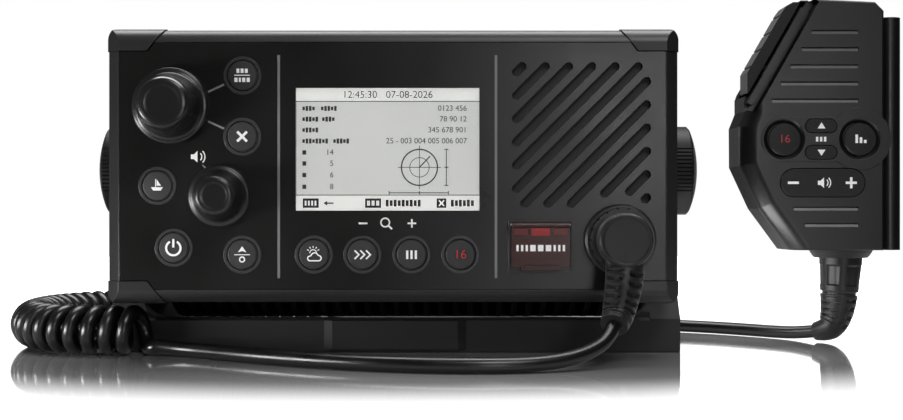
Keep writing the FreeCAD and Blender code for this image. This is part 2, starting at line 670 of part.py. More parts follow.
def front_panel():
    y0, y1 = FACE_Y - CUT, PANEL_BACK + CUT
    plate = block(0, 0, 2 * PANEL_HALF_W, 2 * PANEL_HALF_H, FACE_Y, PANEL_BACK)
    holes = (
        [corner(side, level, -SET_GAP, y0, y1) for side, level in CORNERS]
        + [face_hole(place, RING_NECK_R + RUN_GAP, y0, y1) for place in KEY_PLACES.values()]
        + [face_hole(place, BUSHING_R + SET_GAP, y0, y1) for place in (CHANNEL_PLACE, VOLUME_PLACE)]
        + [face_hole((SOCKET_X, SOCKET_UP), SOCKET_BODY_R + SET_GAP, y0, y1),
           block(WINDOW_X, WINDOW_UP, WINDOW_W + 2 * SET_GAP, WINDOW_H + 2 * SET_GAP, y0, y1),
           block(DISTRESS_X, BUTTON_UP, BUTTON_W + 2 * KEY_GAP, BUTTON_H + 2 * KEY_GAP, y0, y1)]
        + [slot_tool(start, end, y0, y1) for start, end in slot_lines()]
    )
    rim_front = FACE_Y - DISTRESS_RIM_PROUD
    rim = block(DISTRESS_X, DISTRESS_UP, DISTRESS_W, DISTRESS_H, rim_front, FACE_Y + SINK).cut(
        block(DISTRESS_X, DISTRESS_UP, DISTRESS_W - 2 * DISTRESS_RIM, DISTRESS_H - 2 * DISTRESS_RIM,
              rim_front - CUT, FACE_Y))
    pin_y = hinge_y()
    lugs = []
    for side in (-1, 1):
        outer = DISTRESS_X + side * DISTRESS_W / 2
        ends = sorted((outer, outer - side * LUG_T))
        lug = box(ends[0], ends[1], pin_y - BARREL_R, FACE_Y + SINK,
                  PIVOT_UP + COVER_TOP - BARREL_R, PIVOT_UP + COVER_TOP + BARREL_R)
        lugs.append(lug)
    pin_hole = cylinder_x(pin_y, PIVOT_UP + COVER_TOP, PIN_R,
                          DISTRESS_X - DISTRESS_W, DISTRESS_X + DISTRESS_W)
    return tidy(plate.fuse([rim] + lugs).cut(holes + [pin_hole]))


def corner_caps():
    form = bezel(CAP_PROUD)
    prisms = [corner(side, level, SET_GAP, FACE_Y - CUT, FACE_Y + CAP_DEPTH) for side, level in CORNERS]
    return Part.makeCompound([tidy(form.common(prism)) for prism in prisms])


# ---- Display ----
def display_window():
    front = FACE_Y + WINDOW_INSET
    return block(WINDOW_X, WINDOW_UP, WINDOW_W, WINDOW_H, front, front + WINDOW_T)


def lcd_module():
    return block(WINDOW_X, WINDOW_UP, WINDOW_W + 2 * LCD_MARGIN, WINDOW_H + 2 * LCD_MARGIN,
                 PANEL_BACK + LCD_GAP, CONTROL_Y)


# ---- Rear housing ----
def case_gasket():
    outer = rounded_y(0, 0, FLANGE_W - CUT, FLANGE_H - CUT, FACE_CORNER_R, JOINT_Y, CASE_FRONT)
    screws = [face_hole((side * CASE_SCREW_X, level * CASE_SCREW_UP), CASE_SCREW_R + SET_GAP,
                        JOINT_Y - CUT, CASE_FRONT + CUT) for side, level in CORNERS]
    opening = block(0, 0, CASE_W - 2 * CASE_WALL, CASE_H - 2 * CASE_WALL, JOINT_Y - CUT, CASE_FRONT + CUT)
    return tidy(outer.cut([opening] + screws))


def rear_housing():
    body = rounded_y(0, 0, CASE_W, CASE_H, CASE_EDGE_R, CASE_FRONT, CASE_BACK_Y)
    flange = rounded_y(0, 0, FLANGE_W, FLANGE_H, FACE_CORNER_R, CASE_FRONT, CASE_FRONT + FLANGE_T)
    cavity = block(0, 0, CASE_W - 2 * CASE_WALL, CASE_H - 2 * CASE_WALL, CASE_FRONT - CUT,
                   CASE_BACK_IN)
    fins = []
    for i in range(FIN_COUNT):
        x = (i - (FIN_COUNT - 1) / 2) * FIN_PITCH
        disc = cylinder_x(0, PIVOT_UP, FIN_R, x - FIN_T / 2, x + FIN_T / 2)
        below = box(x - FIN_T, x + FIN_T, CASE_FRONT, FIN_R, 0, PIVOT_UP - CASE_H / 2 + SINK)
        fins.append(disc.common(below))
    rib_half = CASE_HALF - CASE_EDGE_R
    fins.append(box(-rib_half, rib_half, -FIN_RIB_T / 2, FIN_RIB_T / 2, PIVOT_UP - FIN_R,
                    PIVOT_UP - CASE_H / 2 + SINK))
    top = PIVOT_UP + CASE_H / 2 - CASE_EDGE_R
    for i in range(BACK_FIN_COUNT):
        x = (i - (BACK_FIN_COUNT - 1) / 2) * BACK_FIN_PITCH
        fins.append(box(x - BACK_FIN_T / 2, x + BACK_FIN_T / 2, CASE_BACK_Y - SINK,
                        CASE_BACK_Y + BACK_FIN_DEPTH, PIVOT_UP + BACK_FIN_LOW, top))
    bosses = [cylinder_x(0, PIVOT_UP, BOSS_R, CASE_HALF - INSERT_LENGTH - SET_GAP, CASE_HALF - SINK)]
    bosses.append(mirrored(bosses[0]))
    inserts = [cylinder_x(0, PIVOT_UP, INSERT_R, CASE_HALF - INSERT_LENGTH - CUT, CASE_HALF + CUT)]
    inserts.append(mirrored(inserts[0]))
    board_posts = [cylinder_y(side * MAIN_POST_X, PIVOT_UP + level * MAIN_POST_UP, POST_R, MAIN_Y + BOARD_T,
                              CASE_BACK_IN + SINK) for side, level in CORNERS]
    fittings = ((ANTENNA_X, ANTENNA_R), (NETWORK_X, NETWORK_R), (GLAND_X, GLAND_R - CUT))
    back_holes = [face_hole((x, ANTENNA_UP), r + SET_GAP, CASE_BACK_IN - CUT, CASE_BACK_Y + CUT)
                  for x, r in fittings]
    screws = [face_hole((side * CASE_SCREW_X, level * CASE_SCREW_UP), CASE_SCREW_R,
                        CASE_FRONT - CUT, CASE_FRONT + FLANGE_T + CUT) for side, level in CORNERS]
    shell = body.fuse([flange]).cut([cavity]).fuse(fins + bosses + board_posts)
    return tidy(shell.cut(inserts + back_holes + screws))


def case_screws():
    seat = FACE_Y + CAP_DEPTH
    end = CASE_FRONT + FLANGE_T
    screws = []
    for side, level in CORNERS:
        place = (side * CASE_SCREW_X, level * CASE_SCREW_UP)
        head = face_hole(place, CASE_SCREW_HEAD_R, seat + SET_GAP, seat + CASE_SCREW_HEAD_H)
        shank = face_hole(place, CASE_SCREW_R, seat + CASE_SCREW_HEAD_H - SINK, end)
        screws.append(tidy(head.fuse(shank)))
    return Part.makeCompound(screws)


def pivot_inserts():
    start, end = CASE_HALF - INSERT_LENGTH, CASE_HALF
    insert = cylinder_x(0, PIVOT_UP, INSERT_R, start, end).cut(
        cylinder_x(0, PIVOT_UP, STUD_R + RUN_GAP, start - CUT, end + CUT))
    return Part.makeCompound([insert, mirrored(insert)])


# ---- Boards ----
def control_board():
    outline = [(x, PIVOT_UP + up) for x, up in CONTROL_OUTLINE]
    return prism_y(outline, CONTROL_Y, CONTROL_Y + BOARD_T)


def key_switches():
    places = list(KEY_PLACES.values()) + [(DISTRESS_X, BUTTON_UP)]
    top = FACE_Y - KEY_PROUD + KEY_LENGTH + KEY_TRAVEL + PRESS_GAP
    switches = []
    for place in places:
        base = face_hole(place, SWITCH_R, CONTROL_Y - SWITCH_H, CONTROL_Y)
        plunger = face_hole(place, PLUNGER_R, top, CONTROL_Y - SWITCH_H + SINK)
        switches.append(tidy(base.fuse(plunger)))
    return Part.makeCompound(switches)


def main_board():
    return block(0, 0, 2 * MAIN_HALF_W, 2 * MAIN_HALF_H, MAIN_Y, MAIN_Y + BOARD_T)


def rf_shield():
    can = block(SHIELD_X, 0, SHIELD_W, SHIELD_H, MAIN_Y - SHIELD_D, MAIN_Y)
    inside = block(SHIELD_X, 0, SHIELD_W - 2 * SHIELD_T, SHIELD_H - 2 * SHIELD_T,
                   MAIN_Y - SHIELD_D + SHIELD_T, MAIN_Y + CUT)
    return can.cut(inside)


# ---- Speaker ----
def speaker_membrane():
    width, height = membrane_size()
    return block(GRILLE_X, GRILLE_UP, width, height, PANEL_BACK, PANEL_BACK + MEMBRANE_T)


def speaker_driver():
    y0 = PLATE_BACK
    y_rim, y_end = y0 + SPEAKER_RIM_T, y0 + SPEAKER_D
    neck_y = (y_rim + y_end) / 2
    profile = [(SPEAKER_R, y0), (SPEAKER_R, y_rim), (SPEAKER_R - 3 * CONE_T, y_rim), (MAGNET_R, neck_y),
               (MAGNET_R, y_end), (0, y_end), (0, y_rim), (MAGNET_R / 3, y_rim + CONE_T),
               (SPEAKER_OPEN_R - CONE_T, y0 + CONE_T), (SPEAKER_OPEN_R, y0)]
    return turned_y(profile, GRILLE_X, PIVOT_UP + GRILLE_UP)


# ---- Keys and knobs ----
def key_solid(x, z, radius, front, dome, length):
    back = front + length
    edge = 2 * dome
    return turned_y([(0, front), (radius / 2, front + dome / 3), (radius - edge, front + dome),
                     (radius, front + dome + edge), (radius, back), (0, back)], x, z)


def panel_key(place):
    return key_solid(place[0], PIVOT_UP + place[1], KEY_R, FACE_Y - KEY_PROUD, KEY_DOME, KEY_LENGTH)


def key_rings():
    front = FACE_Y - RING_PROUD
    bore = KEY_R + KEY_GAP
    half = RING_PROUD / 2
    profile = [(bore, front + half), (bore + half, front), (RING_R - half, front), (RING_R, front + half),
               (RING_R, FACE_Y), (RING_NECK_R, FACE_Y), (RING_NECK_R, PANEL_BACK), (bore, PANEL_BACK)]
    return Part.makeCompound([turned_y(profile, x, PIVOT_UP + up) for x, up in KEY_PLACES.values()])


def shaft(place, radius, flat, y0, y1):
    """A round shaft with one flat above."""
    x, z = place[0], PIVOT_UP + place[1]
    cut_off = box(x - 2 * radius, x + 2 * radius, y0 - CUT, y1 + CUT, z + flat, z + 2 * radius)
    return face_hole(place, radius, y0, y1).cut(cut_off)


def encoder(place):
    body = block(place[0], place[1], 2 * ENCODER_HALF, 2 * ENCODER_HALF, PLATE_BACK, CONTROL_Y)
    bushing = face_hole(place, BUSHING_R, FACE_Y, PLATE_BACK + SINK)
    bore = face_hole(place, SHAFT_R + RUN_GAP, FACE_Y - CUT, CONTROL_Y - CUT)
    return tidy(body.fuse(bushing).cut(bore))


def rotor(place):
    turned = face_hole(place, SHAFT_R, FACE_Y, CONTROL_Y - CUT - PRESS_GAP)
    return tidy(turned.fuse(shaft(place, SHAFT_R, SHAFT_FLAT, FACE_Y - SHAFT_OUT, FACE_Y + SINK)))


def knob(place, profile):
    back = FACE_Y - KNOB_LIFT
    x, z = place[0], PIVOT_UP + place[1]
    points = [(0, back)] + [(r, back - height) for r, height in profile] + [(0, back - profile[-1][1])]
    bore_end = FACE_Y - SHAFT_OUT - KNOB_TRAVEL - PRESS_GAP
    bore = shaft(place, SHAFT_R + RUN_GAP, SHAFT_FLAT + RUN_GAP, bore_end, back + CUT)
    return tidy(turned_y(points, x, z).cut(bore))


# ---- Distress button ----
def hinge_y():
    return FACE_Y - BARREL_R - COVER_LIFT / 2


def distress_button():
    back = FACE_Y - KEY_PROUD + KEY_LENGTH
    return rounded_y(DISTRESS_X, BUTTON_UP, BUTTON_W, BUTTON_H, 1.0, FACE_Y - BUTTON_PROUD, back)


def distress_cover():
    back = FACE_Y - COVER_LIFT
    half = COVER_W / 2
    low, pin_z = PIVOT_UP + COVER_LOW, PIVOT_UP + COVER_TOP
    plate = box(DISTRESS_X - half, DISTRESS_X + half, back - COVER_T, back, low, pin_z)
    tab = box(DISTRESS_X - COVER_TAB_W / 2, DISTRESS_X + COVER_TAB_W / 2, back - COVER_T * 1.6, back,
              low - COVER_TAB_H, low + SINK)
    barrel = cylinder_x(hinge_y(), pin_z, BARREL_R, DISTRESS_X - half, DISTRESS_X + half)
    bore = cylinder_x(hinge_y(), pin_z, PIN_R + RUN_GAP, DISTRESS_X - COVER_W, DISTRESS_X + COVER_W)
    return tidy(plate.fuse([tab, barrel]).cut(bore))


def distress_hinge_pin():
    half = DISTRESS_W / 2
    return cylinder_x(hinge_y(), PIVOT_UP + COVER_TOP, PIN_R, DISTRESS_X - half, DISTRESS_X + half)


# ---- Microphone socket and plug ----
def mic_socket():
    edge = SOCKET_PROUD / 4
    profile = [(SOCKET_BORE_R, SOCKET_TOP), (SOCKET_R - edge, SOCKET_TOP), (SOCKET_R, SOCKET_TOP + edge),
               (SOCKET_R, FACE_Y), (SOCKET_BODY_R, FACE_Y), (SOCKET_BODY_R, SOCKET_END_Y), (0, SOCKET_END_Y),
               (0, SOCKET_TOP + SOCKET_BORE_D), (SOCKET_BORE_R, SOCKET_TOP + SOCKET_BORE_D)]
    return turned_y(profile, SOCKET_X, PIVOT_UP + SOCKET_UP)


def plug_lock_ring():
    place = (SOCKET_X, SOCKET_UP)
    y0, y1 = PLUG_HEAD_BACK + LOCK_GAP, SOCKET_TOP - LOCK_GAP
    bore = face_hole(place, PLUG_NECK_R + RUN_GAP, y0 - CUT, y1 + CUT)
    ring = face_hole(place, LOCK_RING_R, y0, y1).cut(bore)
    notches = []
    for i in range(NOTCH_COUNT):
        angle = 2 * math.pi * i / NOTCH_COUNT
        at = (SOCKET_X + LOCK_RING_R * math.cos(angle), SOCKET_UP + LOCK_RING_R * math.sin(angle))
        notches.append(face_hole(at, NOTCH_R, y0 - CUT, y1 + CUT))
    return tidy(ring.cut(notches))


def cord_plug():
    place = (SOCKET_X, SOCKET_UP)
    pin = face_hole(place, PLUG_PIN_R, SOCKET_TOP, SOCKET_TOP + SOCKET_BORE_D - CUT)
    neck = face_hole(place, PLUG_NECK_R, PLUG_HEAD_BACK - SINK, SOCKET_TOP)
    head = face_hole(place, PLUG_HEAD_R, PLUG_FACE, PLUG_HEAD_BACK)
    rings = [e for e in head.Edges if e.Curve.TypeId == "Part::GeomCircle"]
    head = head.makeFillet(PLUG_EDGE_R, [e for e in rings if abs(e.CenterOfMass.y - PLUG_FACE) < SINK])
    z = PIVOT_UP + SOCKET_UP
    line = [(SOCKET_X + dx, PLUG_FACE + dy, z + dz, r) for dx, dy, dz, r in BOOT_LINE]
    sleeve = boot(line, LEAD_POINTS[0], LEAD_POINTS[1], BOOT_END_RUN, BOOT_END_R)
    return tidy(head.fuse([neck, pin, sleeve]))


# ---- Rear sockets ----
def antenna_socket():
    z = PIVOT_UP + ANTENNA_UP
    inner = CASE_BACK_IN - CUT
    end = CASE_BACK_Y + ANTENNA_OUT
    barrel = cylinder_y(ANTENNA_X, z, ANTENNA_R, inner, end)
    flange = block(ANTENNA_X, ANTENNA_UP, 2 * ANTENNA_FLANGE_HALF, 2 * ANTENNA_FLANGE_HALF, CASE_BACK_Y,
                   CASE_BACK_Y + ANTENNA_FLANGE_T)
    recess = cylinder_y(ANTENNA_X, z, ANTENNA_R - 2, end - ANTENNA_BORE_D, end + CUT)
    centre = cylinder_y(ANTENNA_X, z, 2 * ANTENNA_BORE_R, end - ANTENNA_BORE_D - SINK, end)
    bore = cylinder_y(ANTENNA_X, z, ANTENNA_BORE_R, end - ANTENNA_BORE_D, end + CUT)
    return tidy(barrel.fuse(flange).cut(recess).fuse(centre).cut(bore))


def network_socket():
    z = PIVOT_UP + ANTENNA_UP
    inner = CASE_BACK_IN - CUT
    end = CASE_BACK_Y + NETWORK_OUT
    barrel = cylinder_y(NETWORK_X, z, NETWORK_R, inner, end)
    nut = cylinder_y(NETWORK_X, z, NETWORK_NUT_R, CASE_BACK_Y, CASE_BACK_Y + NETWORK_NUT_T)
    recess = cylinder_y(NETWORK_X, z, NETWORK_R - 1.5, end - NETWORK_OUT / 2, end + CUT)
    return tidy(barrel.fuse(nut).cut(recess))


def power_gland():
    z = PIVOT_UP + ANTENNA_UP
    wall = CASE_BACK_IN
    thread_r = GLAND_R - CUT - SET_GAP
    profile = [(thread_r, wall), (thread_r, CASE_BACK_Y), (GLAND_R, CASE_BACK_Y),
               (GLAND_R, CASE_BACK_Y + GLAND_OUT / 2), (GLAND_R * 0.6, CASE_BACK_Y + GLAND_OUT),
               (GLAND_R / 4, CASE_BACK_Y + GLAND_OUT), (GLAND_R / 4, wall)]
    return turned_y(profile, GLAND_X, z)


# ---- Bracket ----
def ear_outline():
    """The ear's (y, z) outline: an upright foot, a knee, then straight sides that meet the round top."""
    distance = math.hypot(KNEE_Y, PIVOT_UP - KNEE_H)
    lean = math.atan2(KNEE_Y, PIVOT_UP - KNEE_H)
    touch = math.acos(EAR_R / distance)
    angle = lean + touch - math.pi / 2
    tangent = (EAR_R * math.cos(angle), PIVOT_UP + EAR_R * math.sin(angle))
    return [(BASE_HALF_D, 0.0), (BASE_HALF_D, FOOT_H), (KNEE_Y, KNEE_H), tangent]


def ear_face(x, gap):
    """The outline as edges in the plane at x, moved inward by the gap."""
    right = ear_outline()
    flat = right + [(-y, z) for y, z in reversed(right)]
    radius = EAR_R - gap
    if gap:
        flat = inset(flat, -gap)
        y, z = right[-1]
        y, z = y * radius / EAR_R, PIVOT_UP + (z - PIVOT_UP) * radius / EAR_R
        flat[3], flat[4] = (y, z), (-y, z)
    points = [Vector(x, y, z) for y, z in flat]
    edges = [Part.LineSegment(points[i], points[i + 1]).toShape() for i in (0, 1, 2)]
    edges.append(Part.Arc(points[3], Vector(x, 0, PIVOT_UP + radius), points[4]).toShape())
    edges += [Part.LineSegment(points[i], points[i + 1]).toShape() for i in (4, 5, 6)]
    edges.append(Part.LineSegment(points[7], points[0]).toShape())
    return edges


def bracket():
    base = box(-BRACKET_HALF, BRACKET_HALF, -BASE_HALF_D, BASE_HALF_D, 0, BASE_T)
    front = box(-EAR_IN - SINK, EAR_IN + SINK, -BASE_HALF_D, -BASE_HALF_D + WALL_T, 0, WALL_H)
    back = box(-EAR_IN - SINK, EAR_IN + SINK, BASE_HALF_D - WALL_T, BASE_HALF_D, 0, BACK_WALL_H)
    y, foot = -BASE_HALF_D, PAD_HALF_W + PAD_SLOPE
    pad_plan = [(-foot, y), (-PAD_HALF_W, y - PAD_PROUD), (PAD_HALF_W, y - PAD_PROUD), (foot, y),
                (foot, y + SINK), (-foot, y + SINK)]
    pad_base = closed_wire([Vector(x, y, CUT) for x, y in pad_plan])
    pad = Part.Face(pad_base).extrude(Vector(0, 0, WALL_H - 2 * CUT))
    ear = extruded_x(ear_face(EAR_IN, 0), BRACKET_HALF - EAR_IN)
    hollow = extruded_x(ear_face(EAR_OUT, EAR_RIM), BRACKET_HALF + CUT - EAR_OUT)
    seat = cylinder_x(0, PIVOT_UP, CLAMP_R + CLAMP_GAP + SINK, EAR_OUT, BRACKET_HALF + CUT)
    hole = cylinder_x(0, PIVOT_UP, STUD_R + EAR_HOLE_GAP, EAR_IN - CUT, BRACKET_HALF + CUT)
    gusset_x, gusset_z = EAR_IN - GUSSET_R, WALL_H + GUSSET_R
    outline = extruded_x(ear_face(gusset_x, 0), GUSSET_R + SINK)
    gusset = box(gusset_x, EAR_IN + SINK, GUSSET_Y0, GUSSET_Y1, BASE_T - SINK, gusset_z)
    sweep = cylinder_y(gusset_x, gusset_z, GUSSET_R, GUSSET_Y0 - CUT, GUSSET_Y1 + CUT)
    right = ear.cut([hollow, seat, hole]).fuse(gusset.cut(sweep).common(outline))
    screws = [cylinder_z(sx * SCREW_X, sy * SCREW_Y, SCREW_HOLE_R, -CUT, BASE_T + CUT) for sx, sy in CORNERS]
    chamfer = [e for e in front.Edges
               if abs(e.CenterOfMass.y + BASE_HALF_D) < SINK and abs(e.CenterOfMass.z - WALL_H) < SINK]
    front = front.makeChamfer(CUT, chamfer)
    return tidy(base.fuse([front, back, pad, right, mirrored(right)]).cut(screws))


def pivot_washers():
    washer = cylinder_x(0, PIVOT_UP, WASHER_R, CASE_HALF + SIDE_GAP, EAR_IN).cut(
        cylinder_x(0, PIVOT_UP, STUD_R + EAR_HOLE_GAP, CASE_HALF, EAR_IN + CUT))
    return Part.makeCompound([washer, mirrored(washer)])


def clamp_knob():
    """The right-hand clamp knob: stud, ribbed grip and domed face."""
    outer = CLAMP_IN + CLAMP_SIDE
    tip = outer + CLAMP_DOME
    bulge = outer + CLAMP_DOME * 0.8
    rim_r = CLAMP_R - CLAMP_EDGE

    def line(x0, r0, x1, r1):
        return Part.LineSegment(Vector(x0, 0, PIVOT_UP + r0), Vector(x1, 0, PIVOT_UP + r1)).toShape()

    dome = Part.Arc(Vector(outer, 0, PIVOT_UP + rim_r), Vector(bulge, 0, PIVOT_UP + CLAMP_R / 2),
                    Vector(tip, 0, PIVOT_UP + CLAMP_EDGE)).toShape()
    edges = [
        line(CLAMP_IN, 0, CLAMP_IN, rim_r),
        line(CLAMP_IN, rim_r, CLAMP_IN + CLAMP_EDGE, CLAMP_R),
        line(CLAMP_IN + CLAMP_EDGE, CLAMP_R, outer - CLAMP_EDGE, CLAMP_R),
        line(outer - CLAMP_EDGE, CLAMP_R, outer, rim_r),
        dome,
        line(tip, CLAMP_EDGE, tip, 0),
        line(tip, 0, CLAMP_IN, 0),
    ]
    grip = Part.Face(Part.Wire(edges)).revolve(Vector(0, 0, PIVOT_UP), Vector(1, 0, 0), 2 * HALF_TURN)
    outline = []
    half_steps = int(2 * HALF_TURN / RIB_STEP) * 2
    for i in range(half_steps):
        turn = i * RIB_STEP / 2
        from_middle = abs((turn + RIB_SECTOR) % (2 * HALF_TURN / RIB_SECTORS) - RIB_SECTOR)
        valley = i % 2 == 1 and from_middle < RIB_SECTOR / 2
        r = CLAMP_R - RIB_D if valley else CLAMP_R + RIB_D
        angle = math.radians(turn)
        outline.append((-r * math.cos(angle), PIVOT_UP + r * math.sin(angle)))
    ribbed = prism_x(outline, CLAMP_IN - CUT, tip + CUT)
    stud = cylinder_x(0, PIVOT_UP, STUD_R, CASE_HALF - INSERT_LENGTH + CUT, CLAMP_IN + SINK)
    return tidy(grip.common(ribbed).fuse(stud))


# ---- Microphone ----
def mic_hole(place, radius, y0, y1):
    return cylinder_y(place[0], place[1], radius, y0, y1)


def ptt_bore(radius, start, length):
    """A cylinder along the push-to-talk bar's travel, from the bar inward."""
    sx, sz = PTT_SLOPE
    nx, nz = PTT_NORMAL
    x0, z0 = PTT_OUTLINE[-1]
    x, z = x0 + sx * PTT_PLUNGER_AT + nx * start, z0 + sz * PTT_PLUNGER_AT + nz * start
    y = (PTT_FRONT_Y + PTT_BACK_Y) / 2
    return Part.makeCylinder(radius, length, Vector(x, y, z), Vector(nx, 0, nz))


def beside_ptt(near, far, low, high, y0, y1):
    """A strip along the push-to-talk bar, from near to far inward of it."""
    (sx, sz), (nx, nz), (x0, z0) = PTT_SLOPE, PTT_NORMAL, PTT_OUTLINE[-1]
    corners = [(x0 + nx * across + sx * at, z0 + nz * across + sz * at)
               for across, at in ((near, low), (near, high), (far, high), (far, low))]
    return prism_y(corners, y0, y1)


def mic_cavity():
    return prism_y(inset(MIC_OUTLINE, MIC_CAVITY_INSET), MIC_CAVITY_FRONT_Y, MIC_BACK_Y - MIC_WALL)


def mic_posts(radius, y0, y1):
    return [mic_hole(place, radius, y0, y1) for place in MIC_SCREWS]


def pocket_depth():
    return MIC_FRONT_Y - ISLAND_T - MIC_KEY_PROUD + MIC_KEY_DEPTH + MIC_KEY_TRAVEL + PRESS_GAP


def side_edges(solid, outline, sides):
    """The front edges of the solid along some of the outline's sides."""
    found = []
    for side in sides:
        (x0, z0), (x1, z1) = outline[side], outline[(side + 1) % len(outline)]
        middle = Vector((x0 + x1) / 2, MIC_FRONT_Y, (z0 + z1) / 2)
        found.append(min(solid.Edges, key=lambda e: (e.CenterOfMass - middle).Length))
    return found


def groove(x, z):
    """A finger groove: deepest under its upper edge, and rising to the face at its lower one."""
    return prism_x([(MIC_FRONT_Y - CUT, z + GROOVE_W / 2), (MIC_FRONT_Y + GROOVE_D, z + GROOVE_W / 2),
                    (MIC_FRONT_Y, z - GROOVE_W / 2), (MIC_FRONT_Y - CUT, z - GROOVE_W / 2)], x, GROOVE_RIGHT)


def seam():
    """The groove along the inside of the rounded left edges."""
    near, far, depth = SEAM
    outer, inner = inset(MIC_OUTLINE, near), inset(MIC_OUTLINE, far)
    ring = prism_y(outer, MIC_FRONT_Y - CUT, MIC_FRONT_Y + depth).cut(
        prism_y(inner, MIC_FRONT_Y - 2 * CUT, MIC_FRONT_Y + depth + CUT))
    first, last = MIC_LEFT_SIDES[0], MIC_LEFT_SIDES[1] + 1
    corners = [outer[i] for i in range(first, last + 1)] + [inner[i] for i in range(last, first - 1, -1)]
    return ring.common(prism_y(corners, MIC_FRONT_Y - CUT, MIC_FRONT_Y + depth))


def mic_form():
    """The outside of the front shell, with the band and trench beside the push-to-talk bar."""
    form = prism_y(MIC_OUTLINE, MIC_FRONT_Y, MIC_SPLIT_Y)
    form = form.makeFillet(MIC_SHOULDER_R, side_edges(form, MIC_OUTLINE, MIC_LEFT_SIDES))
    form = form.makeFillet(MIC_EDGE_R, side_edges(form, MIC_OUTLINE, range(MIC_LEFT_SIDES[0])))
    (px, pz), (nx, nz) = PTT_OUTLINE[-1], PTT_NORMAL
    x, z = MIC_OUTLINE[-1]
    wall = (x - px) * nx + (z - pz) * nz
    band_end = BAND_GAP + BAND_W
    trench = beside_ptt(-CUT, band_end + TRENCH_W, TRENCH_LOW, BAND_TOP + 2 * MIC_WALL,
                        MIC_FRONT_Y - CUT, TRENCH_Y)
    behind_bar = PTT_FRONT_Y - SET_GAP
    lip = beside_ptt(BAND_GAP, band_end, BAND_LOW, BAND_TOP, BAND_FRONT_Y, behind_bar)
    root = beside_ptt(wall, band_end, BAND_LOW, BAND_TOP, behind_bar - SINK, TRENCH_Y + SINK)
    return form.cut(trench).fuse([lip, root])


def mic_front_shell():
    island_front = MIC_FRONT_Y - ISLAND_T
    left, right = MIC_CHANNEL_PLACE, MIC_POWER_PLACE
    island = box(left[0], right[0], island_front, MIC_FRONT_Y + SINK, left[1] - ISLAND_R, left[1] + ISLAND_R)
    island_end = mic_hole(left, ISLAND_R, island_front, MIC_FRONT_Y + SINK)
    bulge = mic_hole(right, BULGE_R, island_front, RAIL_FRONT_Y - SET_GAP)
    dishes = [Part.makeCone(DISH_R + DISH_D, MIC_KEY_R, 2 * DISH_D, Vector(x, island_front - DISH_D, z),
                            Vector(0, 1, 0)) for x, z in (left, right)]
    grooves = [groove(x, z) for x, z in GROOVES_UP + GROOVES_LOW]
    front, back = island_front - CUT, pocket_depth()
    keys = [mic_hole(place, MIC_KEY_R + KEY_GAP, front, back) for place in (left, right)]
    pills = [pill(PILL_X, z, PILL_W + 2 * KEY_GAP, PILL_H + 2 * KEY_GAP, front, back)
             for z in (PILL_UP_Z, PILL_DOWN_Z)]
    rocker = pill(ROCKER_X, ROCKER_Z, ROCKER_W + 2 * ROCKER_GAP, ROCKER_H + 2 * ROCKER_GAP, front,
                  MIC_FRONT_Y - ROCKER_PROUD + ROCKER_DEPTH + 2 * ROCKER_PIN_R)
    reach = ROCKER_H / 2 + 2 * ROCKER_PIN_R
    axle = cylinder_z(ROCKER_X, rocker_y(), ROCKER_PIN_R + RUN_GAP, ROCKER_Z - reach, ROCKER_Z + reach)
    posts = mic_posts(MIC_POST_R, MIC_CAVITY_FRONT_Y - SINK, MIC_BACK_Y - MIC_WALL)
    threads = mic_posts(MIC_SCREW_R, MIC_BOARD_Y + MIC_BOARD_T, MIC_BACK_Y)
    bore = ptt_bore(PTT_PLUNGER_R + SET_GAP, 0, 3 * PTT_PLUNGER_L)
    shell = mic_form().fuse([island, island_end, bulge]).cut([mic_cavity(), bore])
    return tidy(shell.fuse(posts).cut(dishes + grooves + keys + pills + threads + [seam(), rocker, axle]))


def mic_rear_shell():
    form = layered((MIC_OUTLINE, MIC_SPLIT_Y + MIC_SPLIT_LINE), (MIC_OUTLINE, MIC_BACK_Y - MIC_BACK_BEVEL),
                   (inset(MIC_OUTLINE, MIC_BACK_BEVEL), MIC_BACK_Y))
    screws = mic_posts(MIC_SCREW_R + SET_GAP, MIC_BACK_Y - MIC_WALL - CUT, MIC_BACK_Y + CUT)
    heads = mic_posts(MIC_SCREW_HEAD_R + SET_GAP, MIC_BACK_Y - MIC_SCREW_HEAD_H, MIC_BACK_Y + CUT)
    hang = mic_hole(HANG_PLACE, HANG_NECK_R, MIC_BACK_Y - MIC_WALL - CUT, MIC_BACK_Y + CUT)
    bore = ptt_bore(PTT_PLUNGER_R + SET_GAP, 0, 3 * PTT_PLUNGER_L)
    return tidy(form.cut([mic_cavity(), bore, hang] + screws + heads))


def mic_rail():
    left = MIC_RIGHT + SET_GAP
    rail = box(left, left + RAIL_W, RAIL_FRONT_Y, RAIL_BACK_Y, MIC_LOW, RAIL_TOP)
    return rail.makeFillet(RAIL_R, [e for e in along(rail, Vector(0, 0, 1)) if e.CenterOfMass.y < 0])


def mic_round_key(place):
    front = MIC_FRONT_Y - ISLAND_T - MIC_KEY_PROUD
    return key_solid(place[0], place[1], MIC_KEY_R, front, KEY_DOME, MIC_KEY_DEPTH)


def mic_pill_key(z):
    front = MIC_FRONT_Y - ISLAND_T - MIC_KEY_PROUD
    key = pill(PILL_X, z, PILL_W, PILL_H, front, front + MIC_KEY_DEPTH)
    rim = [e for e in key.Edges if abs(e.CenterOfMass.y - front) < PRESS_GAP]
    return key.makeFillet(KEY_DOME, rim)


def rocker_y():
    return MIC_FRONT_Y - ROCKER_PROUD + ROCKER_DEPTH


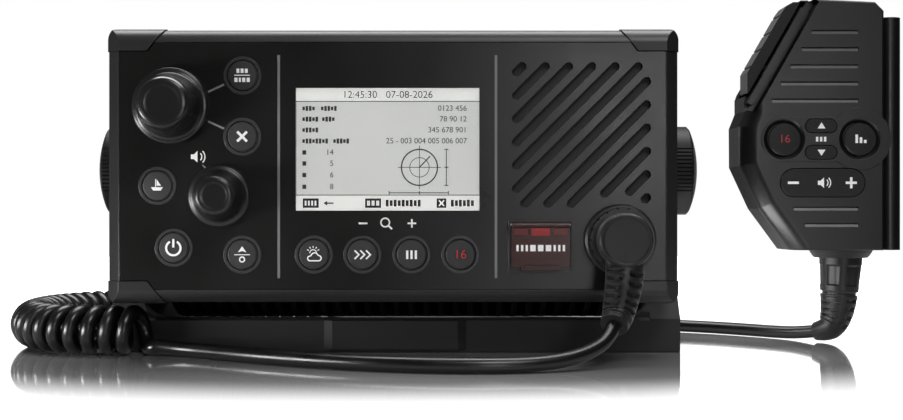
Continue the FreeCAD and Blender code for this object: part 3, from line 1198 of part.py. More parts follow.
def mic_volume_rocker():
    front = MIC_FRONT_Y - ROCKER_PROUD
    key = pill(ROCKER_X, ROCKER_Z, ROCKER_W, ROCKER_H, front, front + ROCKER_DEPTH)
    rim = [e for e in key.Edges if abs(e.CenterOfMass.y - front) < PRESS_GAP]
    key = key.makeFillet(KEY_DOME, rim)
    reach = ROCKER_H / 2 + ROCKER_PIN_R
    axle = cylinder_z(ROCKER_X, rocker_y(), ROCKER_PIN_R, ROCKER_Z - reach, ROCKER_Z + reach)
    return tidy(key.fuse(axle))


def ptt_button():
    bar = prism_y(PTT_OUTLINE, PTT_FRONT_Y, PTT_BACK_Y)
    (x0, z0), (x1, z1) = PTT_OUTLINE[2], PTT_OUTLINE[3]
    length = math.hypot(x1 - x0, z1 - z0)
    creases = [cylinder_y(x0 + (x1 - x0) * at / length, z0 + (z1 - z0) * at / length, PTT_CREASE_R,
                          PTT_FRONT_Y - CUT, PTT_BACK_Y + CUT) for at in PTT_CREASES]
    return tidy(bar.cut(creases).fuse(ptt_bore(PTT_PLUNGER_R, -SINK, PTT_PLUNGER_L)))


def mic_board():
    board = prism_y(inset(MIC_OUTLINE, MIC_CAVITY_INSET + SET_GAP), MIC_BOARD_Y, MIC_BOARD_Y + MIC_BOARD_T)
    return tidy(board.cut(mic_posts(MIC_POST_R + SET_GAP, MIC_BOARD_Y - CUT, MIC_BACK_Y)))


def mic_screws():
    screws = []
    for place in MIC_SCREWS:
        seat = MIC_BACK_Y - MIC_SCREW_HEAD_H
        head = mic_hole(place, MIC_SCREW_HEAD_R, seat, MIC_BACK_Y - PRESS_GAP)
        shank = mic_hole(place, MIC_SCREW_R, MIC_BOARD_Y + MIC_BOARD_T, seat + SINK)
        screws.append(tidy(head.fuse(shank)))
    return Part.makeCompound(screws)


def mic_hang_button():
    end = MIC_BACK_Y + HANG_OUT
    neck = mic_hole(HANG_PLACE, HANG_NECK_R, MIC_BACK_Y - MIC_WALL, end)
    head = mic_hole(HANG_PLACE, HANG_HEAD_R, end - HANG_HEAD_T, end)
    return tidy(neck.fuse(head.makeFillet(KEY_DOME * 2, head.Edges[:1])))


def mic_boot():
    sleeve = boot(MIC_BOOT_LEAD, TAIL_END, TAIL_LIFT, MIC_BOOT_END_RUN, MIC_BOOT_END_R)
    return tidy(limb(MIC_BOOT_LINE).fuse(sleeve))


# ---- Cord ----
def on_floor(points, height):
    return [(x, y, height) for x, y in points]


def cord_lead():
    return tube("cord_lead", LEAD_POINTS, CORD_R)


def cord_coil():
    return tube("cord_coil", on_floor(CURL_POINTS, CURL_REST), CURL_R)


def cord_tail():
    route = on_floor(TAIL_POINTS, CORD_REST) + [TAIL_LIFT, TAIL_END]
    return tube("cord_tail", route, CORD_R)


# ---- Nodes ----
NODES = {
    "bracket": bracket,
    "pivot_washers": pivot_washers,
    "front_housing": front_housing,
    "front_panel": front_panel,
    "corner_caps": corner_caps,
    "display_window": display_window,
    "lcd_module": lcd_module,
    "rear_housing": rear_housing,
    "case_gasket": case_gasket,
    "case_screws": case_screws,
    "control_board": control_board,
    "key_switches": key_switches,
    "main_board": main_board,
    "rf_shield": rf_shield,
    "speaker_driver": speaker_driver,
    "speaker_membrane": speaker_membrane,
    "channel_encoder": lambda: encoder(CHANNEL_PLACE),
    "channel_rotor": lambda: rotor(CHANNEL_PLACE),
    "channel_knob": lambda: knob(CHANNEL_PLACE, CHANNEL_PROFILE),
    "volume_encoder": lambda: encoder(VOLUME_PLACE),
    "volume_rotor": lambda: rotor(VOLUME_PLACE),
    "volume_knob": lambda: knob(VOLUME_PLACE, VOLUME_PROFILE),
    "key_rings": key_rings,
    "distress_button": distress_button,
    "distress_cover": distress_cover,
    "distress_hinge_pin": distress_hinge_pin,
    "mic_socket": mic_socket,
    "plug_lock_ring": plug_lock_ring,
    "cord_plug": cord_plug,
    "antenna_socket": antenna_socket,
    "network_socket": network_socket,
    "power_gland": power_gland,
    "pivot_inserts": pivot_inserts,
    "clamp_knob_right": clamp_knob,
    "clamp_knob_left": lambda: mirrored(clamp_knob()),
    "mic_front_shell": mic_front_shell,
    "mic_rear_shell": mic_rear_shell,
    "mic_rail": mic_rail,
    "mic_key_channel": lambda: mic_round_key(MIC_CHANNEL_PLACE),
    "mic_key_power": lambda: mic_round_key(MIC_POWER_PLACE),
    "mic_key_up": lambda: mic_pill_key(PILL_UP_Z),
    "mic_key_down": lambda: mic_pill_key(PILL_DOWN_Z),
    "mic_volume_rocker": mic_volume_rocker,
    "ptt_button": ptt_button,
    "mic_board": mic_board,
    "mic_screws": mic_screws,
    "mic_hang_button": mic_hang_button,
    "mic_boot": mic_boot,
    "cord_lead": cord_lead,
    "cord_coil": cord_coil,
    "cord_tail": cord_tail,
}
for key_name, key_place in KEY_PLACES.items():
    NODES[key_name] = lambda place=key_place: panel_key(place)

for node, make in NODES.items():
    solid = make()
    if not solid.isValid():
        raise ValueError(f"{node} isn't a valid shape")
    if any(piece.Volume <= 0 for piece in solid.Solids) or not solid.Solids:
        raise ValueError(f"{node} has no volume")
    solid.exportStep(f"parts/{node}.step")
    print(f"{node}: {len(solid.Solids)} solid(s), {solid.Volume / 1000:.2f} cm3")
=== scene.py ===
import json
import math

import bmesh
import bpy
from mathutils import Matrix, Vector


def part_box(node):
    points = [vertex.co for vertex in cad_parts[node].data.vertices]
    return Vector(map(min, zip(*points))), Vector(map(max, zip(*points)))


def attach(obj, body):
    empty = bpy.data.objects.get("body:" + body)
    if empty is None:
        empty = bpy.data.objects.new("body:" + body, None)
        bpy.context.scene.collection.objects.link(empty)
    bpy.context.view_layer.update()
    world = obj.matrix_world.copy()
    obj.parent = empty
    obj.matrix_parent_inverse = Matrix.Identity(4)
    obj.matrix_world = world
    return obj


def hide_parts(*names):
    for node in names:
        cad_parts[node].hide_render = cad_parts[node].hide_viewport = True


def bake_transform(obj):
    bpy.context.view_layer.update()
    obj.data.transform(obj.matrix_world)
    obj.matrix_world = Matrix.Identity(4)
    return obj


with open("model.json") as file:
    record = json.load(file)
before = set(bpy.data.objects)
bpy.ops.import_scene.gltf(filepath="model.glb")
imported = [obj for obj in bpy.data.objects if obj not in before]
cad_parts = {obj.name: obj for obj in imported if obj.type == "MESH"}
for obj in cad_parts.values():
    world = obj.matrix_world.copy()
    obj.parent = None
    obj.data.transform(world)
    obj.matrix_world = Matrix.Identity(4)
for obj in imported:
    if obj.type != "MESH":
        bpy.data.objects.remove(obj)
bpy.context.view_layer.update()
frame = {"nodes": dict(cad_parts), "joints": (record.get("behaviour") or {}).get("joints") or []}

bl_info = {
    "name": "Marine VHF radio",
    "version": (1, 0, 0),
    "blender": (4, 5, 0),
    "location": "View3D > Sidebar > Marine radio",
    "description": "Dresses the marine VHF radio, its bracket, cord and hand microphone",
    "category": "Object",
}

# Sizes and places are in millimetres unless a line says metres: x to the right, y away from the viewer, z up.
MM = 0.001
NODES = frame["nodes"]


def box_mm(node):
    """Lowest and highest corner of a CAD node."""
    low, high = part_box(node)
    return low / MM, high / MM


def middle(node):
    """(x, z) of a CAD node's middle, seen from the front."""
    low, high = box_mm(node)
    return (low.x + high.x) / 2, (low.z + high.z) / 2


TILT = next(joint for joint in frame["joints"] if joint["name"] == "radio_tilt")
PIVOT = TILT["pos_m"][2] / MM  # height of the tilt axis and of the faceplate's middle
FACE = box_mm("front_housing")[0].y  # front of the faceplate
WHITE = (1, 1, 1, 1)


# ---- Small tools ----
def linear(code):
    """An sRGB hex colour as the three linear values that shaders use."""
    channels = [int(code[i:i + 2], 16) / 255 for i in (1, 3, 5)]
    return tuple(c / 12.92 if c <= 0.04045 else ((c + 0.055) / 1.055) ** 2.4 for c in channels)


def metres(points):
    return [Vector(p) * MM for p in points]


def set_inputs(node, inputs):
    """Sets a node's inputs, by name or number, to values or to the sockets that feed them."""
    for name, value in inputs.items():
        if isinstance(value, bpy.types.NodeSocket):
            node.id_data.links.new(value, node.inputs[name])
        else:
            node.inputs[name].default_value = value


def add_node(tree, kind, inputs=None, **settings):
    """Adds a shader node with its own settings and its inputs."""
    node = tree.nodes.new("ShaderNode" + kind)
    for name, value in settings.items():
        setattr(node, name, value)
    set_inputs(node, inputs or {})
    return node


def new_material(name, colour, roughness, **shader_values):
    """A material and its Principled shader. Constants are set on the shader's own sockets."""
    material = bpy.data.materials.new(name)
    material.use_nodes = True
    shader = material.node_tree.nodes["Principled BSDF"]
    set_inputs(shader, {"Base Color": (*colour, 1), "Roughness": roughness})
    set_inputs(shader, {socket.replace("_", " "): value for socket, value in shader_values.items()})
    return material, shader


def grain(shader, size, depth, detail=2.0, soft_edge=0.0):
    """Bump from a surface grain of a size and depth, with edges softened over soft_edge. Gives back the place
    on the object, for more patterns."""
    tree = shader.id_data
    place = add_node(tree, "TexCoord").outputs["Object"]
    noise = add_node(tree, "TexNoise", {"Vector": place, "Scale": 1 / (size * MM), "Detail": detail,
                                        "Roughness": 0.6})
    inputs = {"Height": noise.outputs["Fac"], "Distance": depth * MM}
    if soft_edge:
        rounded = add_node(tree, "Bevel", {"Radius": soft_edge * MM}, samples=4)
        inputs["Normal"] = rounded.outputs["Normal"]
    set_inputs(shader, {"Normal": add_node(tree, "Bump", inputs).outputs["Normal"]})
    return place


def wandering(tree, place, size, low, high, detail=3.0):
    """A value that wanders between low and high over patches of a size."""
    patches = add_node(tree, "TexNoise", {"Vector": place, "Scale": 1 / (size * MM), "Detail": detail})
    value = add_node(tree, "MapRange", {"Value": patches.outputs["Fac"], "From Min": 0.3, "From Max": 0.7,
                                        "To Min": low, "To Max": high})
    return value.outputs["Result"]


def uneven_gloss(shader, place, size, low, high):
    """Roughness that wanders between low and high over patches of a size, as it does on handled plastic."""
    set_inputs(shader, {"Roughness": wandering(shader.id_data, place, size, low, high)})


def dress(names, material):
    """Gives carried-over pieces their material."""
    for name in names:
        slots = NODES[name].data.materials
        slots.clear()
        slots.append(material)


def put(name, data):
    """An object in the scene."""
    thing = bpy.data.objects.new(name, data)
    bpy.context.scene.collection.objects.link(thing)
    return thing


def new_piece(name, mesh, body, material, smooth_below=None):
    """An object that rides on a body, if one is given. Faces that meet at less than smooth_below degrees are
    shaded as one."""
    piece = put(name, mesh)
    mesh.materials.append(material)
    if smooth_below:
        mesh.shade_smooth()
        mesh.set_sharp_from_angle(angle=math.radians(smooth_below))
    if body:
        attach(piece, body)
    return piece


def mesh_from(name, build):
    """A mesh made by a function that fills a bmesh."""
    form = bmesh.new()
    build(form)
    bmesh.ops.recalc_face_normals(form, faces=form.faces)
    mesh = bpy.data.meshes.new(name)
    form.to_mesh(mesh)
    form.free()
    return mesh


def ringed(name, rings, around):
    """A round skin with flat ends. Each of its rings is a function from an angle to a point in metres."""
    def build(form):
        angles = [2 * math.pi * i / around for i in range(around)]
        rows = [[form.verts.new(ring(angle)) for angle in angles] for ring in rings]
        for row, after in zip(rows, rows[1:]):
            for i, vertex in enumerate(row):
                j = (i + 1) % around
                form.faces.new((vertex, row[j], after[j], after[i]))
        form.faces.new(rows[0])
        form.faces.new(list(reversed(rows[-1])))

    return mesh_from(name, build)


def distances(points):
    """How far along a row of points each one lies."""
    result = [0.0]
    for start, end in zip(points, points[1:]):
        result.append(result[-1] + (end - start).length)
    return result


def frames_along(points):
    """(point, side, up) at each point of a line, turned as little as possible from one to the next."""
    tangents = []
    for i in range(len(points)):
        tangent = points[min(i + 1, len(points) - 1)] - points[max(i - 1, 0)]
        tangents.append(tangent.normalized())
    side = tangents[0].cross(Vector((0, 0, 1)))
    if side.length < 0.1:
        side = tangents[0].cross(Vector((0, 1, 0)))
    side.normalize()
    result = []
    for point, tangent in zip(points, tangents):
        side = (side - tangent * side.dot(tangent)).normalized()
        result.append((point, side, side.cross(tangent)))
    return result


def swept(name, points, radius_at, around):
    """A round skin along points in metres. radius_at(distance, angle) is its radius in metres."""
    def ring_at(distance, point, side, up):
        def place(angle):
            spoke = side * math.cos(angle) + up * math.sin(angle)
            return point + spoke * radius_at(distance, angle)

        return place

    places = zip(distances(points), frames_along(points))
    return ringed(name, [ring_at(distance, *place) for distance, place in places], around)


def nurbs(name, route, per_span):
    """A NURBS curve from the first to the last point of a route in metres, with the others steering it."""
    curve = bpy.data.curves.new(name, "CURVE")
    curve.dimensions = "3D"
    curve.resolution_u = per_span
    spline = curve.splines.new("NURBS")
    spline.points.add(len(route) - 1)
    for control, place in zip(spline.points, route):
        control.co = (*place, 1)
    spline.order_u = 3
    spline.use_endpoint_u = True
    return curve


def mesh_of(curve, place):
    """The mesh of a curve set at a place. The curve itself is removed."""
    holder = put(curve.name, curve)
    bpy.context.view_layer.update()
    mesh = bpy.data.meshes.new_from_object(holder)
    mesh.transform(place)
    bpy.data.objects.remove(holder)
    bpy.data.curves.remove(curve)
    return mesh


def smooth_line(name, route, per_span):
    """Points of the smooth line that a route in metres steers, as Blender's own NURBS gives them."""
    mesh = mesh_of(nurbs(name, route, per_span), Matrix.Identity(4))
    points = [v.co.copy() for v in mesh.vertices]
    bpy.data.meshes.remove(mesh)
    return points


def turned(name, profile, centre, around):
    """A turned skin about the line along Y through centre (x, z), from (radius, y) points."""
    x, z = centre

    def ring_at(r, y):
        return lambda angle: Vector((x + r * math.cos(angle), y, z + r * math.sin(angle))) * MM

    return ringed(name, [ring_at(r, y) for r, y in profile], around)


def rounded_profile(corners, radius):
    """(radius, y) corners, all but the first and last rounded off over less than half of their sides."""
    steps = 4
    points = [corners[0]]
    for before, here, after in zip(corners, corners[1:], corners[2:]):
        b, h, a = Vector(before), Vector(here), Vector(after)
        reach = min(radius, (b - h).length * 0.45, (a - h).length * 0.45)
        start = h + (b - h).normalized() * reach
        end = h + (a - h).normalized() * reach
        for i in range(steps + 1):
            t = i / steps
            points.append(tuple(start * (1 - t) ** 2 + h * (2 * t * (1 - t)) + end * t ** 2))
    points.append(corners[-1])
    return points


# ---- Printed shapes: outlines are lists of (x, z), strokes are (points, width[, closed]) ----
INK = 0.02  # thickness of an ink film
DIGIT_SIZE = 1.42  # the font's size to the height of its digits


def stroke_outline(points, width, closed):
    """The left and right edges of a line of a width. Its corners are mitred, the sharpest ones less far."""
    corners = [Vector(p) for p in points]
    count = len(corners)
    left, right = [], []
    for i, here in enumerate(corners):
        before = corners[i - 1] if closed or i else None
        after = corners[(i + 1) % count] if closed or i < count - 1 else None
        a = (here - before).normalized() if before is not None else (after - here).normalized()
        b = (after - here).normalized() if after is not None else a
        normal = Vector((-(a + b).y, (a + b).x)).normalized()
        reach = width / 2 / max(0.3, normal.dot(Vector((-a.y, a.x))))
        left.append(here + normal * reach)
        right.append(here - normal * reach)
    return left, right


def arc(centre, radius, start, end, steps):
    """Points on an arc, angles in degrees, anticlockwise from +X."""
    angles = [math.radians(start + (end - start) * i / steps) for i in range(steps + 1)]
    return [(centre[0] + radius * math.cos(a), centre[1] + radius * math.sin(a)) for a in angles]


def rectangle(x, z, width, height):
    return [(x - width / 2, z - height / 2), (x + width / 2, z - height / 2),
            (x + width / 2, z + height / 2), (x - width / 2, z + height / 2)]


def bars(x, z, widths, height, gap=0.45):
    """A row of short bars centred at x and z."""
    result = []
    left = x - (sum(widths) + gap * (len(widths) - 1)) / 2
    for width in widths:
        result.append(rectangle(left + width / 2, z, width, height))
        left += width + gap
    return result


# Signs as strokes: their middle, half their size and the width of their lines
def minus(x, z, reach, width):
    return [([(x - reach, z), (x + reach, z)], width)]


def plus(x, z, reach, width):
    return minus(x, z, reach, width) + [([(x, z - reach), (x, z + reach)], width)]


def cross(x, z, reach, rise, width):
    return [([(x - reach, z - way * rise), (x + reach, z + way * rise)], width) for way in (1, -1)]


def loudspeaker(sound_x, sound_radii):
    """Fills and strokes of a loudspeaker with sound coming out of it."""
    body = [(-1.9, -0.8), (-0.9, -0.8), (0.4, -2.0), (0.4, 2.0), (-0.9, 0.8), (-1.9, 0.8)]
    return [body], [(arc((sound_x, 0), radius, -45, 45, 10), 0.4) for radius in sound_radii]


def printed(name, body, material, y, fills=(), strokes=(), at=(0, 0), step=0.004, thickness=INK):
    """A film of ink whose front is at y, drawn about the place at. Each fill and stroke lies a step before
    the last one. Those that don't overlap may have a step of 0 and share a plane."""
    def build(form):
        level = y

        def plate(outline):
            front, back = ([form.verts.new(Vector((at[0] + x, depth, at[1] + z)) * MM) for x, z in outline]
                           for depth in (level, level + thickness))
            form.faces.new(front)
            for i in range(len(front)):
                j = (i + 1) % len(front)
                form.faces.new((front[i], front[j], back[j], back[i]))

        for outline in fills:
            plate(outline)
            level -= step
        for points, width, *closed in strokes:
            left, right = stroke_outline(points, width, bool(closed))
            pairs = list(zip(left, right))
            if closed:
                pairs.append(pairs[0])
            for (l0, r0), (l1, r1) in zip(pairs, pairs[1:]):
                plate([l0, l1, r1, r0])
            level -= step

    return new_piece(name, mesh_from(name, build), body, material)


def number_print(name, text, x, z, y, height, body, material, align="CENTER", thickness=INK):
    """Plain digits at x and z on the plane y."""
    curve = bpy.data.curves.new(name, "FONT")
    curve.body = text
    curve.align_x = align
    curve.align_y = "CENTER"
    curve.size = height * DIGIT_SIZE * MM
    curve.extrude = thickness / 2 * MM
    upright = Matrix.Rotation(math.pi / 2, 4, "X")
    mesh = mesh_of(curve, Matrix.Translation(Vector((x, y, z)) * MM) @ upright)
    mesh.materials.clear()
    return new_piece(name, mesh, body, material)


# ---- Sizes and colours that a user would change ----
def colour_setting(name, description, code):
    return bpy.props.FloatVectorProperty(name=name, description=description, subtype="COLOR", size=3, min=0,
                                         max=1, default=linear(code))


def length_setting(name, description, value):
    return bpy.props.FloatProperty(name=name, description=description, default=value * MM, min=0,
                                   subtype="DISTANCE", unit="LENGTH")


class RadioColours(bpy.types.PropertyGroup):
    bezel: colour_setting("Bezel", "Moulded frame round the faceplate", "#1e1e1f")
    face: colour_setting("Faceplate", "Front panel behind the keys", "#0e0e0d")
    case: colour_setting("Case", "Powder coat on the cast rear case", "#151516")
    bracket: colour_setting("Bracket", "Tilting bracket", "#1b1b1c")
    knob: colour_setting("Knobs", "Channel and volume knobs", "#1d1d1e")
    key: colour_setting("Keys", "Silicone rubber keys on the panel", "#333334")
    ring: colour_setting("Key rings", "Thin rings round the panel's keys", "#363637")
    ink: colour_setting("White ink", "Legends on keys and panel", "#e4e4e2")
    faint_ink: colour_setting("Grey ink", "Dividing lines on the panel", "#7d7d7d")
    red_ink: colour_setting("Red ink", "Numbers of the calling channel", "#a8323a")
    screen: colour_setting("Screen", "Lit background of the display", "#cfd0cd")
    band: colour_setting("Screen bands", "Paler bands at the display's top and bottom", "#e2e2df")
    cloth: colour_setting("Speaker cloth", "Acoustic cloth behind the slots", "#393939")
    plug: colour_setting("Plug and boots", "Moulded plug and boots of the cord", "#151516")
    microphone_key: colour_setting("Microphone keys", "Rubber keys of the microphone", "#121214")
    screen_ink: colour_setting("Screen segments", "Dark segments of the display", "#3b3b3a")
    red_cover: colour_setting("Distress cover", "Tinted hinged cover", "#4a2b29")
    microphone: colour_setting("Microphone", "Moulded microphone shell", "#101011")
    cord: colour_setting("Cord", "Polyurethane jacket of the cord", "#0c0c0c")
    floor: colour_setting("Floor", "Pale studio floor", "#cacaca")


class RadioSizes(bpy.types.PropertyGroup):
    cord_diameter: length_setting("Cord diameter", "Outside of the cord's jacket", 5.0)
    curl_radius: length_setting("Curl radius", "Middle of the cord to the axis of its curls", 6.4)
    curl_turns: bpy.props.IntProperty(name="Curls", description="Turns in the curly part of the cord",
                                      default=36, min=4, max=60)
    legend_line: length_setting("Legend line", "Stroke of the arrowheads on the scan key", 0.55)
    divider_line: length_setting("Divider line", "Width of the lines that part the panel's fields", 0.9)


def colours():
    return bpy.context.scene.radio_colours


def sizes():
    return bpy.context.scene.radio_sizes


# ---- Materials ----
def moulded_abs(name, colour, roughness, grain_size=0.45, grain_depth=0.012, soft_edge=0.25):
    """Injection-moulded ABS from a spark-eroded tool: a fine even grain that spreads highlights, and soft
    edges."""
    material, shader = new_material(name, colour, roughness, IOR=1.53)
    # The real grain is about 0.1 mm; it is drawn three or four times as coarse, so that it shows at all.
    place = grain(shader, grain_size, grain_depth, soft_edge=soft_edge)
    uneven_gloss(shader, place, 35, roughness - 0.03, roughness + 0.05)
    return material


def powder_coat(name, colour, roughness=0.5):
    """Polyester powder coat on cast aluminium: slight orange peel a millimetre or two across, dull sheen."""
    material, shader = new_material(name, colour, roughness, IOR=1.5)
    place = grain(shader, 1.4, 0.03, detail=4.0, soft_edge=0.4)
    uneven_gloss(shader, place, 30, roughness - 0.08, roughness + 0.06)
    return material


def filled_nylon(name, colour):
    """Glass-filled nylon, moulded: matt, with a faint mottle where fibres lie near the skin."""
    material, shader = new_material(name, colour, 0.45, IOR=1.53)
    place = grain(shader, 0.6, 0.02, detail=3.0, soft_edge=0.35)
    uneven_gloss(shader, place, 25, 0.4, 0.52)
    return material


def silicone_rubber(name, colour, roughness=0.55):
    """Moulded silicone rubber: soft sheen, a dusty fine grain."""
    material, shader = new_material(name, colour, roughness, IOR=1.43, Sheen_Weight=0.15, Sheen_Roughness=0.5)
    grain(shader, 0.3, 0.008, soft_edge=0.15)
    return material


def screen_print(name, colour, glow=0.0):
    """Cured screen-printing ink: flat colour with a barely uneven film. Its glow is painted light: the ink
    gives off light of its own and looks brighter than the lamps make it.
    """
    material, shader = new_material(name, colour, 0.5, IOR=1.5, Emission_Color=(*colour, 1),
                                    Emission_Strength=glow)
    grain(shader, 0.2, 0.003)
    return material


def jacket(name, colour):
    """Extruded polyurethane cord jacket: glossy, with shallow waves and patches of a duller gloss."""
    material, shader = new_material(name, colour, 0.31, IOR=1.5)
    place = grain(shader, 2.5, 0.02)
    uneven_gloss(shader, place, 12, 0.27, 0.37)
    return material


def turned_metal(name, colour, roughness, spacing):
    """Turned metal: a fine tool texture breaks up what it mirrors. Metals keep the default IOR."""
    material, shader = new_material(name, colour, roughness, Metallic=1.0)
    tree = material.node_tree
    place = add_node(tree, "TexCoord")
    texture = add_node(tree, "TexNoise", {"Vector": place.outputs["Object"], "Scale": 1 / (spacing * MM)})
    bump = add_node(tree, "Bump", {"Height": texture.outputs["Fac"], "Distance": 0.004 * MM})
    set_inputs(shader, {"Normal": bump.outputs["Normal"]})
    return material


def circuit_board():
    """FR4 board under green solder mask: glossy lacquer with a lattice of tracks every 2.54 mm."""
    pitch = 2.54 * MM
    mask = linear("#0e4a2c")
    material, shader = new_material("solder_mask_board", mask, 0.3, IOR=1.5)
    tree = material.node_tree
    place = add_node(tree, "TexCoord")
    tracks = add_node(tree, "TexBrick", {
        "Vector": place.outputs["Object"], "Color1": (*mask, 1), "Color2": (*linear("#0c4227"), 1),
        "Mortar": (*linear("#2a6a44"), 1), "Scale": 1.0, "Mortar Size": 0.02, "Brick Width": pitch * 3,
        "Row Height": pitch})
    set_inputs(shader, {"Base Color": tracks.outputs["Color"]})
    return material


def clear_acrylic(name, colour, roughness, transmission=1.0):
    """Cast acrylic: see-through, IOR 1.49, with a faint etched surface against glare."""
    material, shader = new_material(name, colour, roughness, IOR=1.49, Transmission_Weight=transmission)
    grain(shader, 0.25, 0.002)
    return material


def lit_display(name, colour, glow):
    """Backlit liquid crystal: a matt film whose glow is a touch uneven, as the lamps behind it make it."""
    material, shader = new_material(name, colour, 0.6, IOR=1.5, Emission_Color=(*colour, 1))
    tree = material.node_tree
    place = add_node(tree, "TexCoord").outputs["Object"]
    set_inputs(shader, {"Emission Strength": wandering(tree, place, 40, glow * 0.96, glow * 1.04, 2.0)})
    return material


def woven_mesh(name, colour):
    """Hydrophobic acoustic cloth: a fine square weave, drawn at 0.8 mm instead of the real 0.1 mm."""
    thread = 0.8 * MM
    material, shader = new_material(name, colour, 0.8, IOR=1.45)
    tree = material.node_tree
    place = add_node(tree, "TexCoord")
    weave = add_node(tree, "TexBrick", {
        "Vector": place.outputs["Object"], "Scale": 1.0, "Mortar Size": 0.0001, "Mortar Smooth": 1.0,
        "Brick Width": thread, "Row Height": thread}, offset=0.0)
    bump = add_node(tree, "Bump", {"Height": weave.outputs["Fac"], "Distance": 0.05 * MM})
    set_inputs(shader, {"Normal": bump.outputs["Normal"]})
    return material


def polished_floor(colour):
    """Polished white acrylic sheet: mirrors at a low angle. Away from the object it turns dark for all but
    the camera, as a small table does, and fades to the white backdrop for the camera."""
    smooth = {"interpolation_type": "SMOOTHSTEP"}
    material, shader = new_material("polished_white_floor", colour, 0.06, IOR=1.49, Emission_Color=WHITE)
    tree = material.node_tree
    camera_ray = add_node(tree, "LightPath").outputs["Is Camera Ray"]
    # away is the distance from the middle in metres, where a metre to the side counts for less.
    squeezed = add_node(tree, "Mapping", {"Vector": grain(shader, 60, 0.02), "Scale": (0.65, 1, 1)})
    length = add_node(tree, "VectorMath", {0: squeezed.outputs["Vector"]}, operation="LENGTH")
    away = length.outputs["Value"]
    table = add_node(tree, "MapRange", {"Value": away, "From Min": 0.14, "From Max": 0.21, "To Min": 1,
                                        "To Max": 0}, **smooth)
    pale = add_node(tree, "Math", {0: table.outputs["Result"], 1: camera_ray}, operation="MAXIMUM")
    # A Mix node's two colours are its inputs 6 and 7, and the mixed one is its output 2.
    tones = add_node(tree, "Mix", {"Factor": pale.outputs[0], 6: (0.04, 0.04, 0.04, 1), 7: (*colour, 1)},
                     data_type="RGBA")
    fade = add_node(tree, "MapRange", {"Value": away, "From Min": 0.125, "From Max": 0.19}, **smooth)
    backdrop = add_node(tree, "Math", {0: fade.outputs["Result"], 1: camera_ray}, operation="MULTIPLY")
    # Seen along the sheet, the gloss hides the white below it.
    facing = add_node(tree, "LayerWeight", {"Blend": 0.5})
    gloss = add_node(tree, "MapRange", {"Value": facing.outputs["Facing"], "From Min": 0.8, "From Max": 0.89,
                                        "To Min": 0, "To Max": 0.7})
    hiding = add_node(tree, "Math", {0: gloss.outputs["Result"], 1: camera_ray}, operation="MULTIPLY")
    set_inputs(shader, {"Base Color": tones.outputs[2], "Emission Strength": backdrop.outputs[0],
                        "Metallic": hiding.outputs[0]})
    return material


def mirrored_white(name):
    """Matt white board that glows only in what glossy surfaces mirror."""
    material, shader = new_material(name, (1, 1, 1), 0.9, Emission_Color=WHITE)
    path = add_node(material.node_tree, "LightPath")
    set_inputs(shader, {"Emission Strength": path.outputs["Is Glossy Ray"]})
    material.cycles.emission_sampling = "NONE"
    return material


# ---- Camera ----
IMAGE_WIDTH = 903  # pixels
FOCAL_LENGTH = 1392  # pixels
SENSOR_WIDTH = 36.0
EYE = Vector((20.5, -545.0, 51.5))


class RADIO_OT_camera(bpy.types.Operator):
    """Puts the camera in front of the faceplate, looking level at it"""
    bl_idname = "radio.camera"
    bl_label = "Camera"

    def execute(self, context):
        data = bpy.data.cameras.new("camera")
        data.sensor_width = SENSOR_WIDTH
        data.lens = FOCAL_LENGTH / IMAGE_WIDTH * SENSOR_WIDTH
        data.clip_start = 0.01
        camera = put("camera", data)
        camera.location = EYE * MM
        camera.rotation_euler = (math.pi / 2, 0, 0)
        context.scene.camera = camera
        return {"FINISHED"}


# ---- Cord ----
LYING = 2.55  # height of the middle of a cord that lies on the ground
LEAD_ROUTE = metres([
    (74.5, -82.5, 13.2), (72.5, -86.3, 9.6), (67.0, -92.5, 6.0), (58.0, -99.5, 3.6), (46.0, -104.5, LYING),
    (32.0, -107.0, LYING), (15.0, -106.0, LYING), (-5.0, -100.5, LYING), (-26.0, -90.0, LYING),
    (-46.0, -77.0, LYING), (-60.0, -65.6, LYING), (-69.5, -58.2, LYING), (-76.5, -54.9, 2.8),
    (-83.0, -54.0, 3.6)])
CURL_ROUTE = metres([(x, y, 8.95) for x, y in (
    (-83.5, -51.2), (-100.0, -51.0), (-117.0, -46.6), (-130.0, -36.0), (-137.0, -20.6), (-139.4, -3.6),
    (-138.0, 13.6), (-132.4, 30.0), (-120.6, 44.0), (-105.0, 55.2), (-86.6, 62.6), (-67.0, 66.2),
    (-47.0, 67.0), (-28.0, 66.2))])
TAIL_ROUTE = metres([
    (-28.0, 66.2, LYING), (-10.0, 65.4, LYING), (9.0, 66.2, LYING), (29.0, 66.0, LYING), (50.0, 64.0, LYING),
    (71.0, 60.4, LYING), (90.0, 55.2, LYING), (106.0, 49.8, LYING), (119.0, 43.2, LYING),
    (131.0, 34.6, LYING), (141.6, 24.6, LYING), (150.4, 14.9, LYING), (157.6, 7.4, 2.8), (163.6, 1.4, 4.0)])
CURL_STEPS = 14  # points to a turn
CURL_RAMP = 0.011  # length in metres over which the winding starts and stops
CUT_IN = 1.02  # the smooth cord runs inside the points of its curls, which lie this much further out


def lead_line():
    return smooth_line("lead_line", LEAD_ROUTE, 16)


